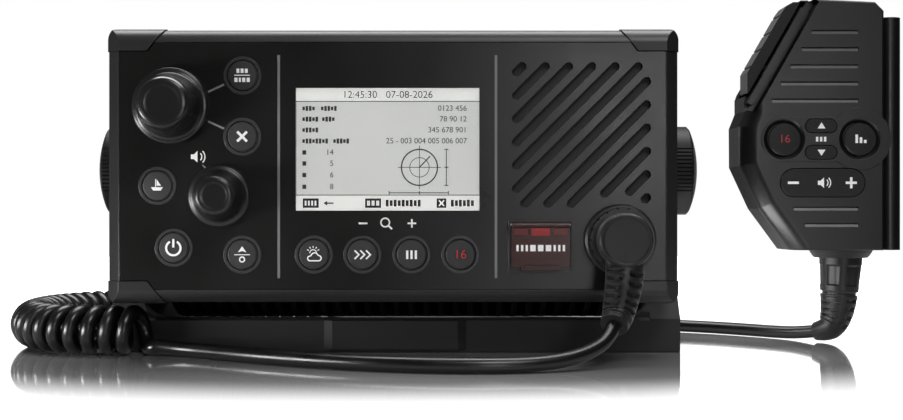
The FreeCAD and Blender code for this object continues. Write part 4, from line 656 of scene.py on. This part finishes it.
def curls(radius, turns):
    """Points of the curly part: round the smooth line of its route, with gentle winding at both ends."""
    axis = smooth_line("curl_axis", CURL_ROUTE, 24)
    along = distances(axis)
    total = along[-1]
    start = LEAD_ROUTE[-1] - CURL_ROUTE[0]
    first = math.atan2(start.z, start.y)
    sweep = 2 * math.pi * turns - math.pi / 2 - first
    steady = sweep / (total - CURL_RAMP)

    def wound(s):
        """Angle turned at a distance along the axis: slow at first and at last."""
        rising = min(s, CURL_RAMP)
        falling = max(0.0, s - (total - CURL_RAMP))
        even = max(0.0, min(s, total - CURL_RAMP) - CURL_RAMP)
        return steady * (rising ** 2 / (2 * CURL_RAMP) + even + falling - falling ** 2 / (2 * CURL_RAMP))

    count = int(turns * CURL_STEPS)
    up = Vector((0, 0, 1))
    points, at = [], 0
    for i in range(1, count):
        s = total * i / count
        while along[at + 1] < s:
            at += 1
        centre = axis[at].lerp(axis[at + 1], (s - along[at]) / (along[at + 1] - along[at]))
        side = (axis[at + 1] - axis[at]).cross(up).normalized()
        angle = first + wound(s)
        points.append(centre + side * (radius * math.cos(angle)) + up * (radius * math.sin(angle)))
    return points


def curly_route():
    """The curly part's and the tail's points, from where the lead ends."""
    return [LEAD_ROUTE[-1]] + curls(sizes().curl_radius * CUT_IN, sizes().curl_turns) + TAIL_ROUTE


class RADIO_OT_cord(bpy.types.Operator):
    """Makes the microphone's cord: the plain lead from the plug, then the curls and the plain tail"""
    bl_idname = "radio.cord"
    bl_label = "Cord"

    def execute(self, context):
        material = jacket("polyurethane_jacket", colours().cord)
        radius = sizes().cord_diameter / 2
        skin = swept("microphone_lead", lead_line(), lambda distance, angle: radius, 24)
        lead = new_piece("microphone_lead", skin, None, material, 60)
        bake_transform(lead)
        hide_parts("cord_lead")

        curve = nurbs("curly_cord", curly_route(), 3)
        curve.bevel_depth = radius
        curve.bevel_resolution = 5
        curve.use_fill_caps = True
        curve.materials.append(material)
        curly = put("curly_cord", curve)
        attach(curly, "mount")
        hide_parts("cord_coil", "cord_tail")
        return {"FINISHED"}


# ---- Housing, panel and caps ----
class RADIO_OT_housing(bpy.types.Operator):
    """Finishes the moulded bezel with its corner caps"""
    bl_idname = "radio.housing"
    bl_label = "Bezel and corner caps"

    def execute(self, context):
        dress(["front_housing", "corner_caps"], moulded_abs("moulded_abs_bezel", colours().bezel, 0.4))
        return {"FINISHED"}


class RADIO_OT_panel(bpy.types.Operator):
    """Finishes the front panel and prints its dividing lines and marks"""
    bl_idname = "radio.panel"
    bl_label = "Front panel"

    def execute(self, context):
        dress(["front_panel"], moulded_abs("moulded_abs_panel", colours().face, 0.3, 0.35, 0.006, 0.2))
        faint = screen_print("grey_panel_ink", colours().faint_ink)
        # The white ink's glow is painted light that brightens the printed marks.
        white = screen_print("white_panel_ink", colours().ink, 0.15)
        width = sizes().divider_line / MM
        y = FACE - INK
        printed("panel_dividers", "radio", faint, y, at=(0, PIVOT), fills=[
            rectangle(-39.7, -0.25, width, 77.7), rectangle(36.0, -0.25, width, 77.7)])
        printed("panel_pointer_lines", "radio", faint, y, at=(0, PIVOT), strokes=[
            ([(-64.3, 25.8), (-58.7, 28.4)], 0.7), ([(-64.3, 15.5), (-58.7, 13.0)], 0.7),
            ([(-66.3, 0.4), (-65.1, -0.9)], 0.5)])
        fills, sound = loudspeaker(0.2, (1.7, 2.8))
        printed("panel_volume_mark", "radio", white, y, fills, sound, at=(-68.4, PIVOT + 3.2))
        magnifier = [(arc((-2.6, 0.3), 1.5, 0, 345, 24), 0.5, True), ([(-1.5, -0.8), (-0.2, -2.0)], 0.6)]
        printed("panel_zoom_marks", "radio", white, y, at=(0, PIVOT - 20.0),
                strokes=minus(-10.3, 0, 1.5, 0.6) + plus(6.7, 0, 1.5, 0.6) + magnifier)
        return {"FINISHED"}


# ---- Display: its contents are placed from the screen's upper left corner, to the right and down ----
WINDOW_LOW, WINDOW_HIGH = box_mm("display_window")
SCREEN_CORNER = (WINDOW_LOW.x, WINDOW_HIGH.z)
SCREEN_W = WINDOW_HIGH.x - WINDOW_LOW.x
SCREEN_H = WINDOW_HIGH.z - WINDOW_LOW.z
SCREEN_Y = box_mm("lcd_module")[0].y - 0.03  # just in front of the display module
HEADER = 4.4  # height of the upper band
FOOTER = 5.3  # height of the lower band
FOOT = SCREEN_H - 2.6  # middle of what stands in the lower band
ROWS = (7.0, 10.75, 14.55, 18.4)
SHORT_ROWS = (22.4, 26.25, 30.3, 34.4)
WORDS = ((2.1, 4, 0), (8.6, 5, 0), (2.1, 5, 1), (9.0, 4, 1), (2.1, 5, 2), (2.1, 8, 3), (12.9, 5, 3))
FIGURES = ("0123 456", "78 90 12", "345 678 901", "25 - 003 004 005 006 007")
SHORT_FIGURES = ("14", "5", "6", "8")


def block(right, down, width, height):
    """A block on the screen, by its left end and the middle of its height."""
    return rectangle(right + width / 2, -down, width, height)


def letters(right, down, count, pitch, width, heights):
    """A row of blocks that stands for letters, with the heights in turn."""
    return [block(right + i * pitch, down, width, heights[i % len(heights)]) for i in range(count)]


def compass(x, z):
    """Strokes of a plain compass circle with a bearing, a scale beside it and one below it."""
    scale, base = x + 9.4, z - 8.9
    strokes = [(arc((x, z), 6.3, 0, 348, 40), 0.45, True), (arc((x, z), 3.4, 0, 345, 30), 0.22, True)]
    strokes += plus(x, z, 7.6, 0.22) + [([(x, z), (x + 3.7, z + 3.9)], 0.4)]
    strokes += [([(scale, z - 6.3), (scale, z + 6.3)], 0.3), ([(x - 10.6, base), (x + 10.1, base)], 0.3)]
    for tick in (6.3, 0, -6.3):
        strokes += minus(scale, z + tick, 0.7, 0.3)
    for tick in (-10.6, 0, 10.1):
        strokes.append(([(x + tick, base - 0.6), (x + tick, base + 0.6)], 0.3))
    return strokes


class RADIO_OT_screen(bpy.types.Operator):
    """Fits the display: its clear window, the lit screen and rows of plain figures"""
    bl_idname = "radio.screen"
    bl_label = "Display"

    def execute(self, context):
        dress(["display_window"], clear_acrylic("anti_glare_acrylic", (1, 1, 1), 0.06))
        dress(["lcd_module"], moulded_abs("display_frame", linear("#1c1c1d"), 0.5))
        paper = lit_display("lit_liquid_crystal", colours().screen, 0.6)
        band = lit_display("lit_header_band", colours().band, 0.72)
        ink = screen_print("dark_liquid_crystal", colours().screen_ink)

        def layer(name, material, lift, fills, strokes=(), step=0.0):
            printed(name, "radio", material, SCREEN_Y - lift, fills, strokes, SCREEN_CORNER, step)

        layer("screen_background", paper, 0, [block(0, SCREEN_H / 2, SCREEN_W, SCREEN_H)])
        bands = [block(0, HEADER / 2, SCREEN_W, HEADER), block(0, SCREEN_H - FOOTER / 2, SCREEN_W, FOOTER)]
        layer("screen_bands", band, 0.03, bands, step=0.004)

        marks = [block(0, HEADER + 0.1, SCREEN_W, 0.28), block(0, SCREEN_H - FOOTER - 0.1, SCREEN_W, 0.28)]
        for right, count, row in WORDS:
            marks += letters(right, ROWS[row], count, 1.15, 0.85, (1.2, 1.7, 1.7))
        marks += [block(2.1, down, 1.3, 1.5) for down in SHORT_ROWS]
        marks += [block(right, FOOT, width, 3.3) for right, width in ((2.2, 5.6), (24.0, 5.6), (49.0, 3.4))]
        marks += letters(31.2, FOOT, 9, 1.4, 1.0, (2.4, 2.0)) + letters(54.0, FOOT, 6, 1.4, 1.0, (2.4, 2.0))
        marks.append([(9.4, -FOOT), (10.8, -FOOT - 0.9), (10.8, -FOOT + 0.9)])
        arrow_shaft = minus(11.8, -FOOT, 1.2, 0.5)
        layer("screen_marks", ink, 0.05, marks, arrow_shaft + compass(43.0, -27.6))
        layer("screen_box_marks", band, 0.08,
              letters(2.9, FOOT, 4, 1.15, 0.6, (1.7,)) + letters(24.7, FOOT, 3, 1.6, 1.0, (1.7,)),
              cross(50.7, -FOOT, 0.9, 1.0, 0.5))

        def figures(name, text, right, down, height, align):
            x, z = SCREEN_CORNER[0] + right, SCREEN_CORNER[1] - down
            number_print(name, text, x, z, SCREEN_Y - 0.06, height, "radio", ink, align)

        figures("screen_header_figures", "12:45:30   07-08-2026", 31.9, 2.25, 2.5, "CENTER")
        for kind, texts, rows, right in (("screen_figures_", FIGURES, ROWS, 59.6),
                                         ("screen_short_figures_", SHORT_FIGURES, SHORT_ROWS, 13.0)):
            for number, (text, down) in enumerate(zip(texts, rows), 1):
                figures(kind + str(number), text, right, down, 1.9, "RIGHT")
        return {"FINISHED"}


# ---- Keys: each legend is drawn about its key's middle ----
KEYS = ("menu", "cancel", "ais", "power", "nav", "weather", "scan", "watch", "channel")
KEY_INK = 0.16  # thickness of a legend
KEY_Y = box_mm("key_menu")[0].y - 0.3  # front of a legend, just before its key


class RADIO_OT_keys(bpy.types.Operator):
    """Finishes the nine rubber keys and their rings, and prints their legends"""
    bl_idname = "radio.keys"
    bl_label = "Keys"

    def execute(self, context):
        dress(["key_" + key for key in KEYS], silicone_rubber("silicone_rubber_key", colours().key))
        dress(["key_rings"], moulded_abs("moulded_ring", colours().ring, 0.35, soft_edge=0.1))
        # The glow of both key inks is painted light that brightens the legends.
        white = screen_print("white_key_ink", colours().ink, 0.25)
        red = screen_print("red_key_ink", colours().red_ink, 0.15)
        line = sizes().legend_line / MM

        split = rectangle(0, 0, 5.4, 0.3)
        two_words = bars(0, 1.55, (1.0, 1.0, 1.0), 1.5) + [split] + bars(0, -1.6, (1.1, 0.7, 1.1, 1.1), 1.5)
        boat = [[(-2.1, -0.5), (2.1, -0.5), (1.3, -1.7), (-1.3, -1.7)], [(-0.1, 0), (1.4, 0), (-0.1, 2.2)]]
        mast = [([(-0.45, -0.4), (-0.45, 2.3)], 0.3)]
        power = [(arc((0, -0.1), 2.5, 118, 422, 36), 0.75), ([(0, 0.1), (0, 3.1)], 0.75)]
        north = [(-1.5, 0.8), (0, 1.3), (1.5, 0.8), (0, 2.9)]
        lifebuoy = [(arc((0, -1.65), 0.85, 0, 350, 36), 0.5, True)]
        sun = (-0.2, 0.6)
        rays = [(list(ends), 0.35) for ends in zip(arc(sun, 1.75, 30, 150, 4), arc(sun, 2.45, 30, 150, 4))]
        cloud = (arc((-1.3, -1.3), 0.8, 100, 265, 10) + arc((1.7, -1.2), 0.9, -90, 75, 10)
                 + arc((0.3, -0.6), 1.25, 25, 165, 12))
        arrowheads = [([(x - 0.7, 1.5), (x + 0.8, 0), (x - 0.7, -1.5)], line) for x in (-2.0, 0.0, 2.0)]
        legends = {
            "menu": (two_words, []),
            "cancel": ([], cross(0, 0, 1.7, 1.7, 0.9)),
            "ais": (boat, mast),
            "power": ([], power),
            "nav": ([north, split], lifebuoy),
            "weather": ([], rays + [(arc(sun, 1.15, -5, 185, 14), 0.35), (cloud, 0.45, True)]),
            "scan": ([], arrowheads),
            "watch": (bars(0, 0, (0.8, 0.8, 0.8), 3.0, 0.7), []),
        }
        for key, (fills, strokes) in legends.items():
            node = "key_" + key
            printed("legend_" + key, node + "_body", white, KEY_Y, fills, strokes, middle(node), 0.002,
                    KEY_INK)
        x, z = middle("key_channel")
        number_print("legend_channel", "16", x, z, KEY_Y + 0.07, 3.1, "key_channel_body", red,
                     thickness=KEY_INK)
        return {"FINISHED"}


# ---- Knobs: (radius, y) from the rim of the bore round to the middle of the front ----
CHANNEL_KNOB = [
    (3.05, -61.0), (13.4, -61.0), (13.4, -62.2), (12.9, -62.9), (11.6, -63.2), (10.9, -64.0), (10.2, -66.0),
    (9.7, -69.0), (9.3, -72.6), (9.0, -74.4), (8.2, -75.6), (6.6, -76.0), (5.4, -75.7), (0.01, -75.7)]
VOLUME_KNOB = [
    (3.05, -61.0), (10.9, -61.0), (10.9, -62.1), (10.4, -62.7), (9.3, -63.0), (8.6, -63.8), (8.0, -65.4),
    (7.5, -68.0), (7.1, -70.8), (6.8, -72.2), (6.1, -73.1), (4.9, -73.4), (4.0, -73.1), (0.01, -73.1)]
KNOB_BORE = (3.05, -68.9)  # inner end of the bore that takes the shaft


class RADIO_OT_knobs(bpy.types.Operator):
    """Turns the channel and volume knobs and finishes their shafts"""
    bl_idname = "radio.knobs"
    bl_label = "Channel and volume knobs"

    def execute(self, context):
        soft = moulded_abs("soft_touch_knob", colours().knob, 0.27, 0.3, 0.006, 0.0)
        for kind, profile in (("channel", CHANNEL_KNOB), ("volume", VOLUME_KNOB)):
            node = kind + "_knob"
            name = "turned_" + node
            skin = turned(name, [KNOB_BORE] + rounded_profile(profile, 0.5), middle(kind + "_encoder"), 128)
            knob = new_piece(name, skin, node + "_body", soft, 35)
            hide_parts(node)
        shaft = turned_metal("nickel_plated_shaft", linear("#b9b6ae"), 0.25, 0.3)
        dress(["channel_rotor", "volume_rotor"], shaft)
        dress(["channel_encoder", "volume_encoder"], filled_nylon("encoder_body", linear("#1b1b1d")))
        return {"FINISHED"}


# ---- Speaker ----
class RADIO_OT_speaker(bpy.types.Operator):
    """Finishes the speaker and the cloth behind its slots"""
    bl_idname = "radio.speaker"
    bl_label = "Speaker"

    def execute(self, context):
        dress(["speaker_membrane"], woven_mesh("acoustic_cloth", colours().cloth))
        dress(["speaker_driver"], powder_coat("speaker_basket", linear("#1f1f20")))
        return {"FINISHED"}


# ---- Distress key: what is printed on its cover is placed from the key's middle ----
COVER_FRONT = FACE - 1.3


class RADIO_OT_distress(bpy.types.Operator):
    """Finishes the distress key under its tinted cover, with ribs and a bare row of marks"""
    bl_idname = "radio.distress"
    bl_label = "Distress key and cover"

    def execute(self, context):
        dress(["distress_cover"], clear_acrylic("tinted_polycarbonate", colours().red_cover, 0.25, 0.3))
        dress(["distress_button"], silicone_rubber("red_silicone_key", linear("#8c1c1c")))
        dress(["distress_hinge_pin"], turned_metal("steel_pin", linear("#8f8f8f"), 0.3, 0.2))
        dim = clear_acrylic("dim_red_ribs", linear("#6a2222"), 0.3, 0.2)
        bright = clear_acrylic("bright_red_ribs", linear("#a52a2c"), 0.3, 0.2)
        # The white ink's glow is painted light that brightens the marks on the cover.
        white = screen_print("white_cover_ink", colours().ink, 0.25)
        grey = screen_print("grey_cover_frame", linear("#383838"))
        dark = screen_print("dark_finger_tab", linear("#0b0b0b"))

        def on_cover(name, material, y, fills, thickness=INK):
            printed(name, "distress_cover_body", material, y, fills, at=middle("distress_button"),
                    thickness=thickness)

        side_ribs = [rectangle(-6.9, 5.6, 4.8, 2.2), rectangle(6.9, 5.6, 4.8, 2.2)]
        on_cover("distress_cover_side_ribs", dim, COVER_FRONT - 0.2, side_ribs, 0.28)
        on_cover("distress_cover_middle_rib", bright, COVER_FRONT - 0.2, [rectangle(0, 5.6, 6.4, 2.6)], 0.28)
        word = bars(0, 0, (0.8, 0.8, 0.8, 1.9, 1.9, 1.9, 0.8, 0.8, 0.8), 2.2, 0.8)
        on_cover("distress_cover_marks", white, COVER_FRONT - INK, word)
        on_cover("distress_cover_tab", dark, COVER_FRONT - INK, [rectangle(0, -6.3, 12.3, 0.9)])
        edge = [(rectangle(0, 0.4, 21.7, 17.6), 0.8, True)]
        printed("distress_frame", "radio", grey, FACE - 0.32, strokes=edge, at=middle("distress_button"),
                thickness=0.3)
        return {"FINISHED"}


# ---- Plug and boots: stations are (x, y, z, radius) or (x, y, z, radius, front-to-back share) ----
PLUG_HEAD = [
    (0.01, -69.0), (9.3, -69.0), (9.3, -78.6), (8.6, -79.4), (7.9, -79.4), (7.6, -79.2), (0.01, -79.2)]
PLUG_NECK = [(0.01, -69.2), (7.0, -69.2), (7.0, -58.0), (0.01, -58.0)]
PLUG_BOOT = [
    (79.3, -74.1, 41.0, 6.9, 0.73), (79.3, -74.1, 36.5, 6.8, 0.75), (79.1, -74.4, 32.5, 6.6, 0.74),
    (78.9, -75.4, 29, 6.5, 0.93), (78.2, -76.6, 24.5, 6.2), (77.2, -77.7, 20.0, 5.8),
    (76.46, -78.77, 17.2, 5.5), (75.9, -79.7, 15.6, 5.3), (74.5, -82.5, 13.2, 4.7)]


def between(low, high, value):
    """A smooth rise from 0 at low to 1 at high."""
    t = max(0.0, min(1.0, (value - low) / (high - low)))
    return t * t * (3 - 2 * t)


def within(first, last, edge, value):
    """1 from first to last, with smooth edges inside them."""
    return between(first, first + edge, value) * (1 - between(last - edge, last, value))


def slots_depth(s, angle, first, last, pitch, height, depth):
    """Depth of a boot's slots at s along it: four columns, every other one half a pitch on."""
    if not first - height < s < last + height:
        return 0.0
    column = int((angle + math.pi / 2) // (math.pi / 2)) % 4
    column_middle = (column - 0.5) * math.pi / 2
    off = abs((angle - column_middle + math.pi) % (2 * math.pi) - math.pi)
    here = (s - first) / pitch + (0.5 if column % 2 else 0.0)
    from_slot = abs(here - round(here)) * pitch
    inside = 1 - between(height / 2 - 0.1, height / 2 + 0.1, from_slot)
    return depth * inside * (1 - between(0.50, 0.60, off))


def boot_skin(name, stations, cut, per_span):
    """A boot through its stations. cut(s, angle) is taken off its radius at s along it."""
    line = smooth_line(name + "_line", metres([station[:3] for station in stations]), per_span)
    along = distances(line)
    spots = []
    for x, y, z, radius, *oval in stations:
        place = Vector((x, y, z)) * MM
        nearest = min(range(len(line)), key=lambda i: (line[i] - place).length)
        spots.append((along[nearest] / MM, radius, oval[0] if oval else 1.0))

    def radius_at(distance, angle):
        s = distance / MM
        for (s0, r0, share0), (s1, r1, share1) in zip(spots, spots[1:]):
            if s <= s1:
                break
        t = max(0.0, min(1.0, (s - s0) / max(0.01, s1 - s0)))
        share = share0 + (share1 - share0) * t
        oval = 1 / math.hypot(math.cos(angle), math.sin(angle) / share)
        return ((r0 + (r1 - r0) * t) * oval - cut(s, angle)) * MM

    return swept(name, line, radius_at, 64)


class RADIO_OT_plug(bpy.types.Operator):
    """Makes the microphone plug with its ribbed boot, and finishes the socket and lock ring"""
    bl_idname = "radio.plug"
    bl_label = "Microphone plug and socket"

    def execute(self, context):
        rubber = silicone_rubber("moulded_pvc_boot", colours().plug, 0.42)

        def cut(s, angle):
            """A thin line round the boot, and the slots before it."""
            return 0.4 * within(28.0, 28.8, 0.2, s) + slots_depth(s, angle, 12.2, 25.6, 3.2, 1.8, 2.6)

        socket = middle("mic_socket")
        skin = turned("plug_head", rounded_profile(PLUG_HEAD, 0.5), socket, 96)
        head = new_piece("plug_head", skin, "radio", rubber, 35)
        neck = new_piece("plug_neck", turned("plug_neck", PLUG_NECK, socket, 48), "radio", rubber, 35)
        boot = new_piece("plug_boot", boot_skin("plug_boot", PLUG_BOOT, cut, 26), "radio", rubber, 40)
        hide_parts("cord_plug")
        line = lead_line()
        dress(["mic_socket", "plug_lock_ring"], moulded_abs("moulded_socket", linear("#242425"), 0.4))
        return {"FINISHED"}


# ---- Case ----
class RADIO_OT_case(bpy.types.Operator):
    """Finishes the cast rear case, its gasket, screws, sockets and cable gland"""
    bl_idname = "radio.case"
    bl_label = "Rear case"

    def execute(self, context):
        dress(["rear_housing"], powder_coat("powder_coat_case", colours().case))
        dress(["case_gasket"], silicone_rubber("gasket_rubber", linear("#0f0f10")))
        dress(["case_screws"], turned_metal("stainless_screw", linear("#a9a7a2"), 0.3, 0.2))
        nickel = turned_metal("nickel_plate", linear("#bdb9ae"), 0.25, 0.3)
        dress(["antenna_socket", "network_socket"], nickel)
        dress(["power_gland"], filled_nylon("nylon_gland", linear("#161617")))
        return {"FINISHED"}


# ---- Bracket ----
class RADIO_OT_bracket(bpy.types.Operator):
    """Finishes the tilting bracket, its clamp knobs, washers and threaded inserts"""
    bl_idname = "radio.bracket"
    bl_label = "Bracket and clamp knobs"

    def execute(self, context):
        dress(["bracket"], powder_coat("matt_coat_bracket", colours().bracket, 0.7))
        soft_touch = moulded_abs("soft_touch_clamp_knob", linear("#121213"), 0.5)
        # A soft-touch coat gives back less light than bare plastic does.
        set_inputs(soft_touch.node_tree.nodes["Principled BSDF"], {"Specular IOR Level": 0.2})
        dress(["clamp_knob_left", "clamp_knob_right"], soft_touch)
        dress(["pivot_washers"], silicone_rubber("washer_rubber", linear("#101011")))
        dress(["pivot_inserts"], turned_metal("brass_insert", linear("#b08d4a"), 0.3, 0.3))
        return {"FINISHED"}


# ---- Electronics ----
class RADIO_OT_electronics(bpy.types.Operator):
    """Finishes the boards, the shield can and the key switches inside"""
    bl_idname = "radio.electronics"
    bl_label = "Electronics inside"

    def execute(self, context):
        dress(["control_board", "main_board", "mic_board"], circuit_board())
        dress(["key_switches"], filled_nylon("switch_body", linear("#2a2a2c")))
        dress(["rf_shield"], turned_metal("tinned_steel", linear("#a8a8a4"), 0.35, 0.8))
        return {"FINISHED"}


# ---- Microphone ----
MIC_KEY_Y = box_mm("mic_key_up")[0].y - 0.12  # front of a legend, just before its key
MIC_FACE_Y = box_mm("mic_front_shell")[0].y - INK
BAR_GUARD = [(132.75, 94.8), (135.5, 94.8), (156.5, 131.55), (153.4, 131.5), (153.0, 130.6), (133.4, 96.7)]
BAR_STOP = [(153.9, 131.06), (156.7, 131.06), (156.7, 131.55), (153.9, 131.55)]
BOOT_COLLAR = [(172.3, -2.0, 36.15, 12.2), (172.3, -2.0, 35.0, 11.6), (172.3, -2.0, 33.0, 10.2)]
BOOT_SLEEVE = [
    (172.3, -2.0, 34.5, 8.2), (172.3, -2.0, 31.0, 8.1), (171.9, -2.0, 24.0, 7.6), (171.6, -2.0, 18.0, 7.1),
    (171.0, -2.0, 12.0, 6.4), (169.4, -2.1, 7.4, 5.6), (167.2, -2.2, 4.8, 4.6), (163.6, 1.4, 4.0, 3.6)]


class RADIO_OT_microphone(bpy.types.Operator):
    """Finishes the hand microphone, prints its legends and makes its boot"""
    bl_idname = "radio.microphone"
    bl_label = "Hand microphone"

    def execute(self, context):
        shell = moulded_abs("moulded_abs_microphone", colours().microphone, 0.34)
        dress(["mic_front_shell", "mic_rear_shell", "mic_rail"], shell)
        keys = ["ptt_button", "mic_key_channel", "mic_key_power", "mic_key_up", "mic_key_down",
                "mic_volume_rocker"]
        dress(keys, silicone_rubber("microphone_key_rubber", colours().microphone_key, 0.5))
        steel = turned_metal("stainless_button", linear("#a9a7a2"), 0.3, 0.3)
        dress(["mic_hang_button", "mic_screws"], steel)
        printed("mic_bar_guard", "mount", shell, 0.25, [BAR_GUARD], thickness=6.6)
        printed("mic_bar_stop", "mount", shell, -13.2, [BAR_STOP], thickness=13.5)
        self.print_legends()
        self.make_boot()
        return {"FINISHED"}

    def print_legends(self):
        # The white ink's glow is painted light that brightens the microphone's legends.
        white = screen_print("white_microphone_ink", colours().ink, 0.25)
        red = screen_print("red_microphone_ink", colours().red_ink)
        number_print("legend_mic_channel", "16", *middle("mic_key_channel"), MIC_KEY_Y, 3.1,
                     "mic_key_channel_body", red)
        strength = [rectangle(-1.4 + 1.6 * i, -0.5 * i, 1.0, 3.2 - i) for i in range(3)]
        printed("legend_mic_power", "mic_key_power_body", white, MIC_KEY_Y, strength,
                at=middle("mic_key_power"))
        for kind, way in (("up", 1), ("down", -1)):
            printed("legend_mic_" + kind, "mic_key_" + kind + "_body", white, MIC_KEY_Y,
                    [[(-1.5, -way), (1.5, -way), (0, 1.3 * way)]], at=middle("mic_key_" + kind))
        x, upper = middle("mic_key_up")
        lower = middle("mic_key_down")[1]
        printed("legend_mic_steps", "mount", white, MIC_FACE_Y, bars(0, 0, (0.9, 0.9, 0.9), 1.8, 0.6),
                at=(x, (upper + lower) / 2))
        fills, sound = loudspeaker(0.3, (1.6, 2.6))
        printed("legend_mic_volume", "mic_volume_rocker_body", white, MIC_FACE_Y, fills,
                sound + minus(-11.2, 0, 2.1, 0.95) + plus(10.7, 0, 2.1, 0.95), at=middle("mic_volume_rocker"))

    def make_boot(self):
        def cut(s, angle):
            """Six shallow windows, a groove round the sleeve, and the slots after it."""
            off = abs((angle + math.pi / 6 + 0.1) % (math.pi / 3) - math.pi / 6)
            window = (1 - between(0.27, 0.34, off)) * within(4.2, 12.5, 0.7, s)
            groove = within(14.6, 16.1, 0.3, s)
            return 0.7 * window + 0.8 * groove + slots_depth(s, angle, 18.0, 27.0, 3.0, 1.3, 1.8)

        rubber = silicone_rubber("moulded_pvc_sleeve", colours().plug, 0.4)
        skin = boot_skin("mic_boot_collar", BOOT_COLLAR, lambda s, angle: 0.0, 12)
        collar = new_piece("mic_boot_collar", skin, "mount", rubber, 40)
        skin = boot_skin("mic_boot_sleeve", BOOT_SLEEVE, cut, 26)
        sleeve = new_piece("mic_boot_sleeve", skin, "mount", rubber, 40)
        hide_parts("mic_boot")
        route = curly_route()


# ---- Stage: metres and watts ----
FLOOR_REACH = 4.0
FLOOR_Z = -0.0001  # just under the object
BOARD_Y = 1.0
BOARD_HEIGHT = 0.2
# name, left and right edge
BOARDS = (("left_board", -0.9, -0.34), ("right_board", 0.27, 0.9))
# name, place, aim, width and height, power
LAMPS = (
    ("high_front_softbox", (0.32, -0.95, 1.0), (0.02, -0.06, 0.05), (0.5, 0.35), 6.5),
    ("overhead_softbox", (0.05, 0.25, 1.0), (0.02, 0, 0.05), (1.2, 0.5), 16),
    ("right_softbox", (0.29, -1.25, 0.19), (0.05, 0, 0.08), (0.2, 0.2), 1.15),
    ("low_left_card", (-0.27, -0.17, 0.012), (-0.075, -0.065, 0.09), (0.14, 0.05), 0.7),
    ("low_right_card", (0.112, -0.03, 0.022), (0.15, -0.02, 0.03), (0.06, 0.02), 0.036))


def sheet(name, corners, material):
    """A flat sheet for the floor or a board, with its material."""
    thing = put(name, mesh_from(name, lambda form: form.faces.new([form.verts.new(c) for c in corners])))
    thing.data.materials.append(material)
    return thing


class RADIO_OT_stage(bpy.types.Operator):
    """Sets the pale floor, the white boards, the background and the studio lights"""
    bl_idname = "radio.stage"
    bl_label = "Stage"

    def execute(self, context):
        scene = context.scene
        scene.view_settings.view_transform = "Standard"
        r = FLOOR_REACH
        sheet("floor", [(-r, -r, FLOOR_Z), (r, -r, FLOOR_Z), (r, r, FLOOR_Z), (-r, r, FLOOR_Z)],
              polished_floor(colours().floor))
        # The boards stand behind the object, and show only in what the floor and gloss mirror.
        for name, left, right in BOARDS:
            board = sheet(name, [(left, BOARD_Y, 0), (right, BOARD_Y, 0), (right, BOARD_Y, BOARD_HEIGHT),
                                 (left, BOARD_Y, BOARD_HEIGHT)], mirrored_white(name))
            for rays in ("camera", "diffuse", "shadow", "transmission"):
                setattr(board, "visible_" + rays, False)
        self.light_room(scene)
        for name, at, aim, size, power in LAMPS:
            data = bpy.data.lights.new(name, "AREA")
            data.shape = "RECTANGLE"
            data.size, data.size_y = size
            data.energy = power
            light = put(name, data)
            light.location = at
            light.rotation_euler = (Vector(aim) - Vector(at)).to_track_quat("-Z", "Y").to_euler()
            light.visible_camera = False
        return {"FINISHED"}

    def light_room(self, scene):
        """The room is dark behind the camera and paler ahead. The camera sees its background as white."""
        world = bpy.data.worlds.new("studio")
        scene.world = world
        world.use_nodes = True
        tree = world.node_tree
        place = add_node(tree, "TexCoord")
        parts = add_node(tree, "SeparateXYZ", {"Vector": place.outputs["Generated"]})
        depth = add_node(tree, "MapRange", {"Value": parts.outputs["Y"], "From Min": -0.3, "From Max": 0.6,
                                            "To Min": 0.02, "To Max": 0.06}, interpolation_type="SMOOTHSTEP")
        path = add_node(tree, "LightPath")
        shown = add_node(tree, "Math", {0: path.outputs["Is Camera Ray"], 1: depth.outputs["Result"]},
                         operation="MAXIMUM")
        set_inputs(tree.nodes["Background"], {"Color": WHITE, "Strength": shown.outputs[0]})


class VIEW3D_PT_radio(bpy.types.Panel):
    """Lists the radio's pieces"""
    bl_label = "Marine VHF radio"
    bl_space_type = "VIEW_3D"
    bl_region_type = "UI"
    bl_category = "Marine radio"

    def draw(self, context):
        for operator in OPERATORS:
            self.layout.operator(operator.bl_idname)


OPERATORS = (
    RADIO_OT_camera, RADIO_OT_cord, RADIO_OT_housing, RADIO_OT_panel, RADIO_OT_screen, RADIO_OT_keys,
    RADIO_OT_knobs, RADIO_OT_speaker, RADIO_OT_distress, RADIO_OT_plug, RADIO_OT_case, RADIO_OT_bracket,
    RADIO_OT_electronics, RADIO_OT_microphone, RADIO_OT_stage)
CLASSES = (RadioColours, RadioSizes, *OPERATORS, VIEW3D_PT_radio)


def register():
    for item in CLASSES:
        bpy.utils.register_class(item)
    bpy.types.Scene.radio_colours = bpy.props.PointerProperty(type=RadioColours)
    bpy.types.Scene.radio_sizes = bpy.props.PointerProperty(type=RadioSizes)


def unregister():
    del bpy.types.Scene.radio_sizes
    del bpy.types.Scene.radio_colours
    for item in reversed(CLASSES):
        bpy.utils.unregister_class(item)


def main():
    register()
    for operator in OPERATORS:
        group, name = operator.bl_idname.split(".")
        getattr(getattr(bpy.ops, group), name)()


if __name__ == "__main__":
    main()
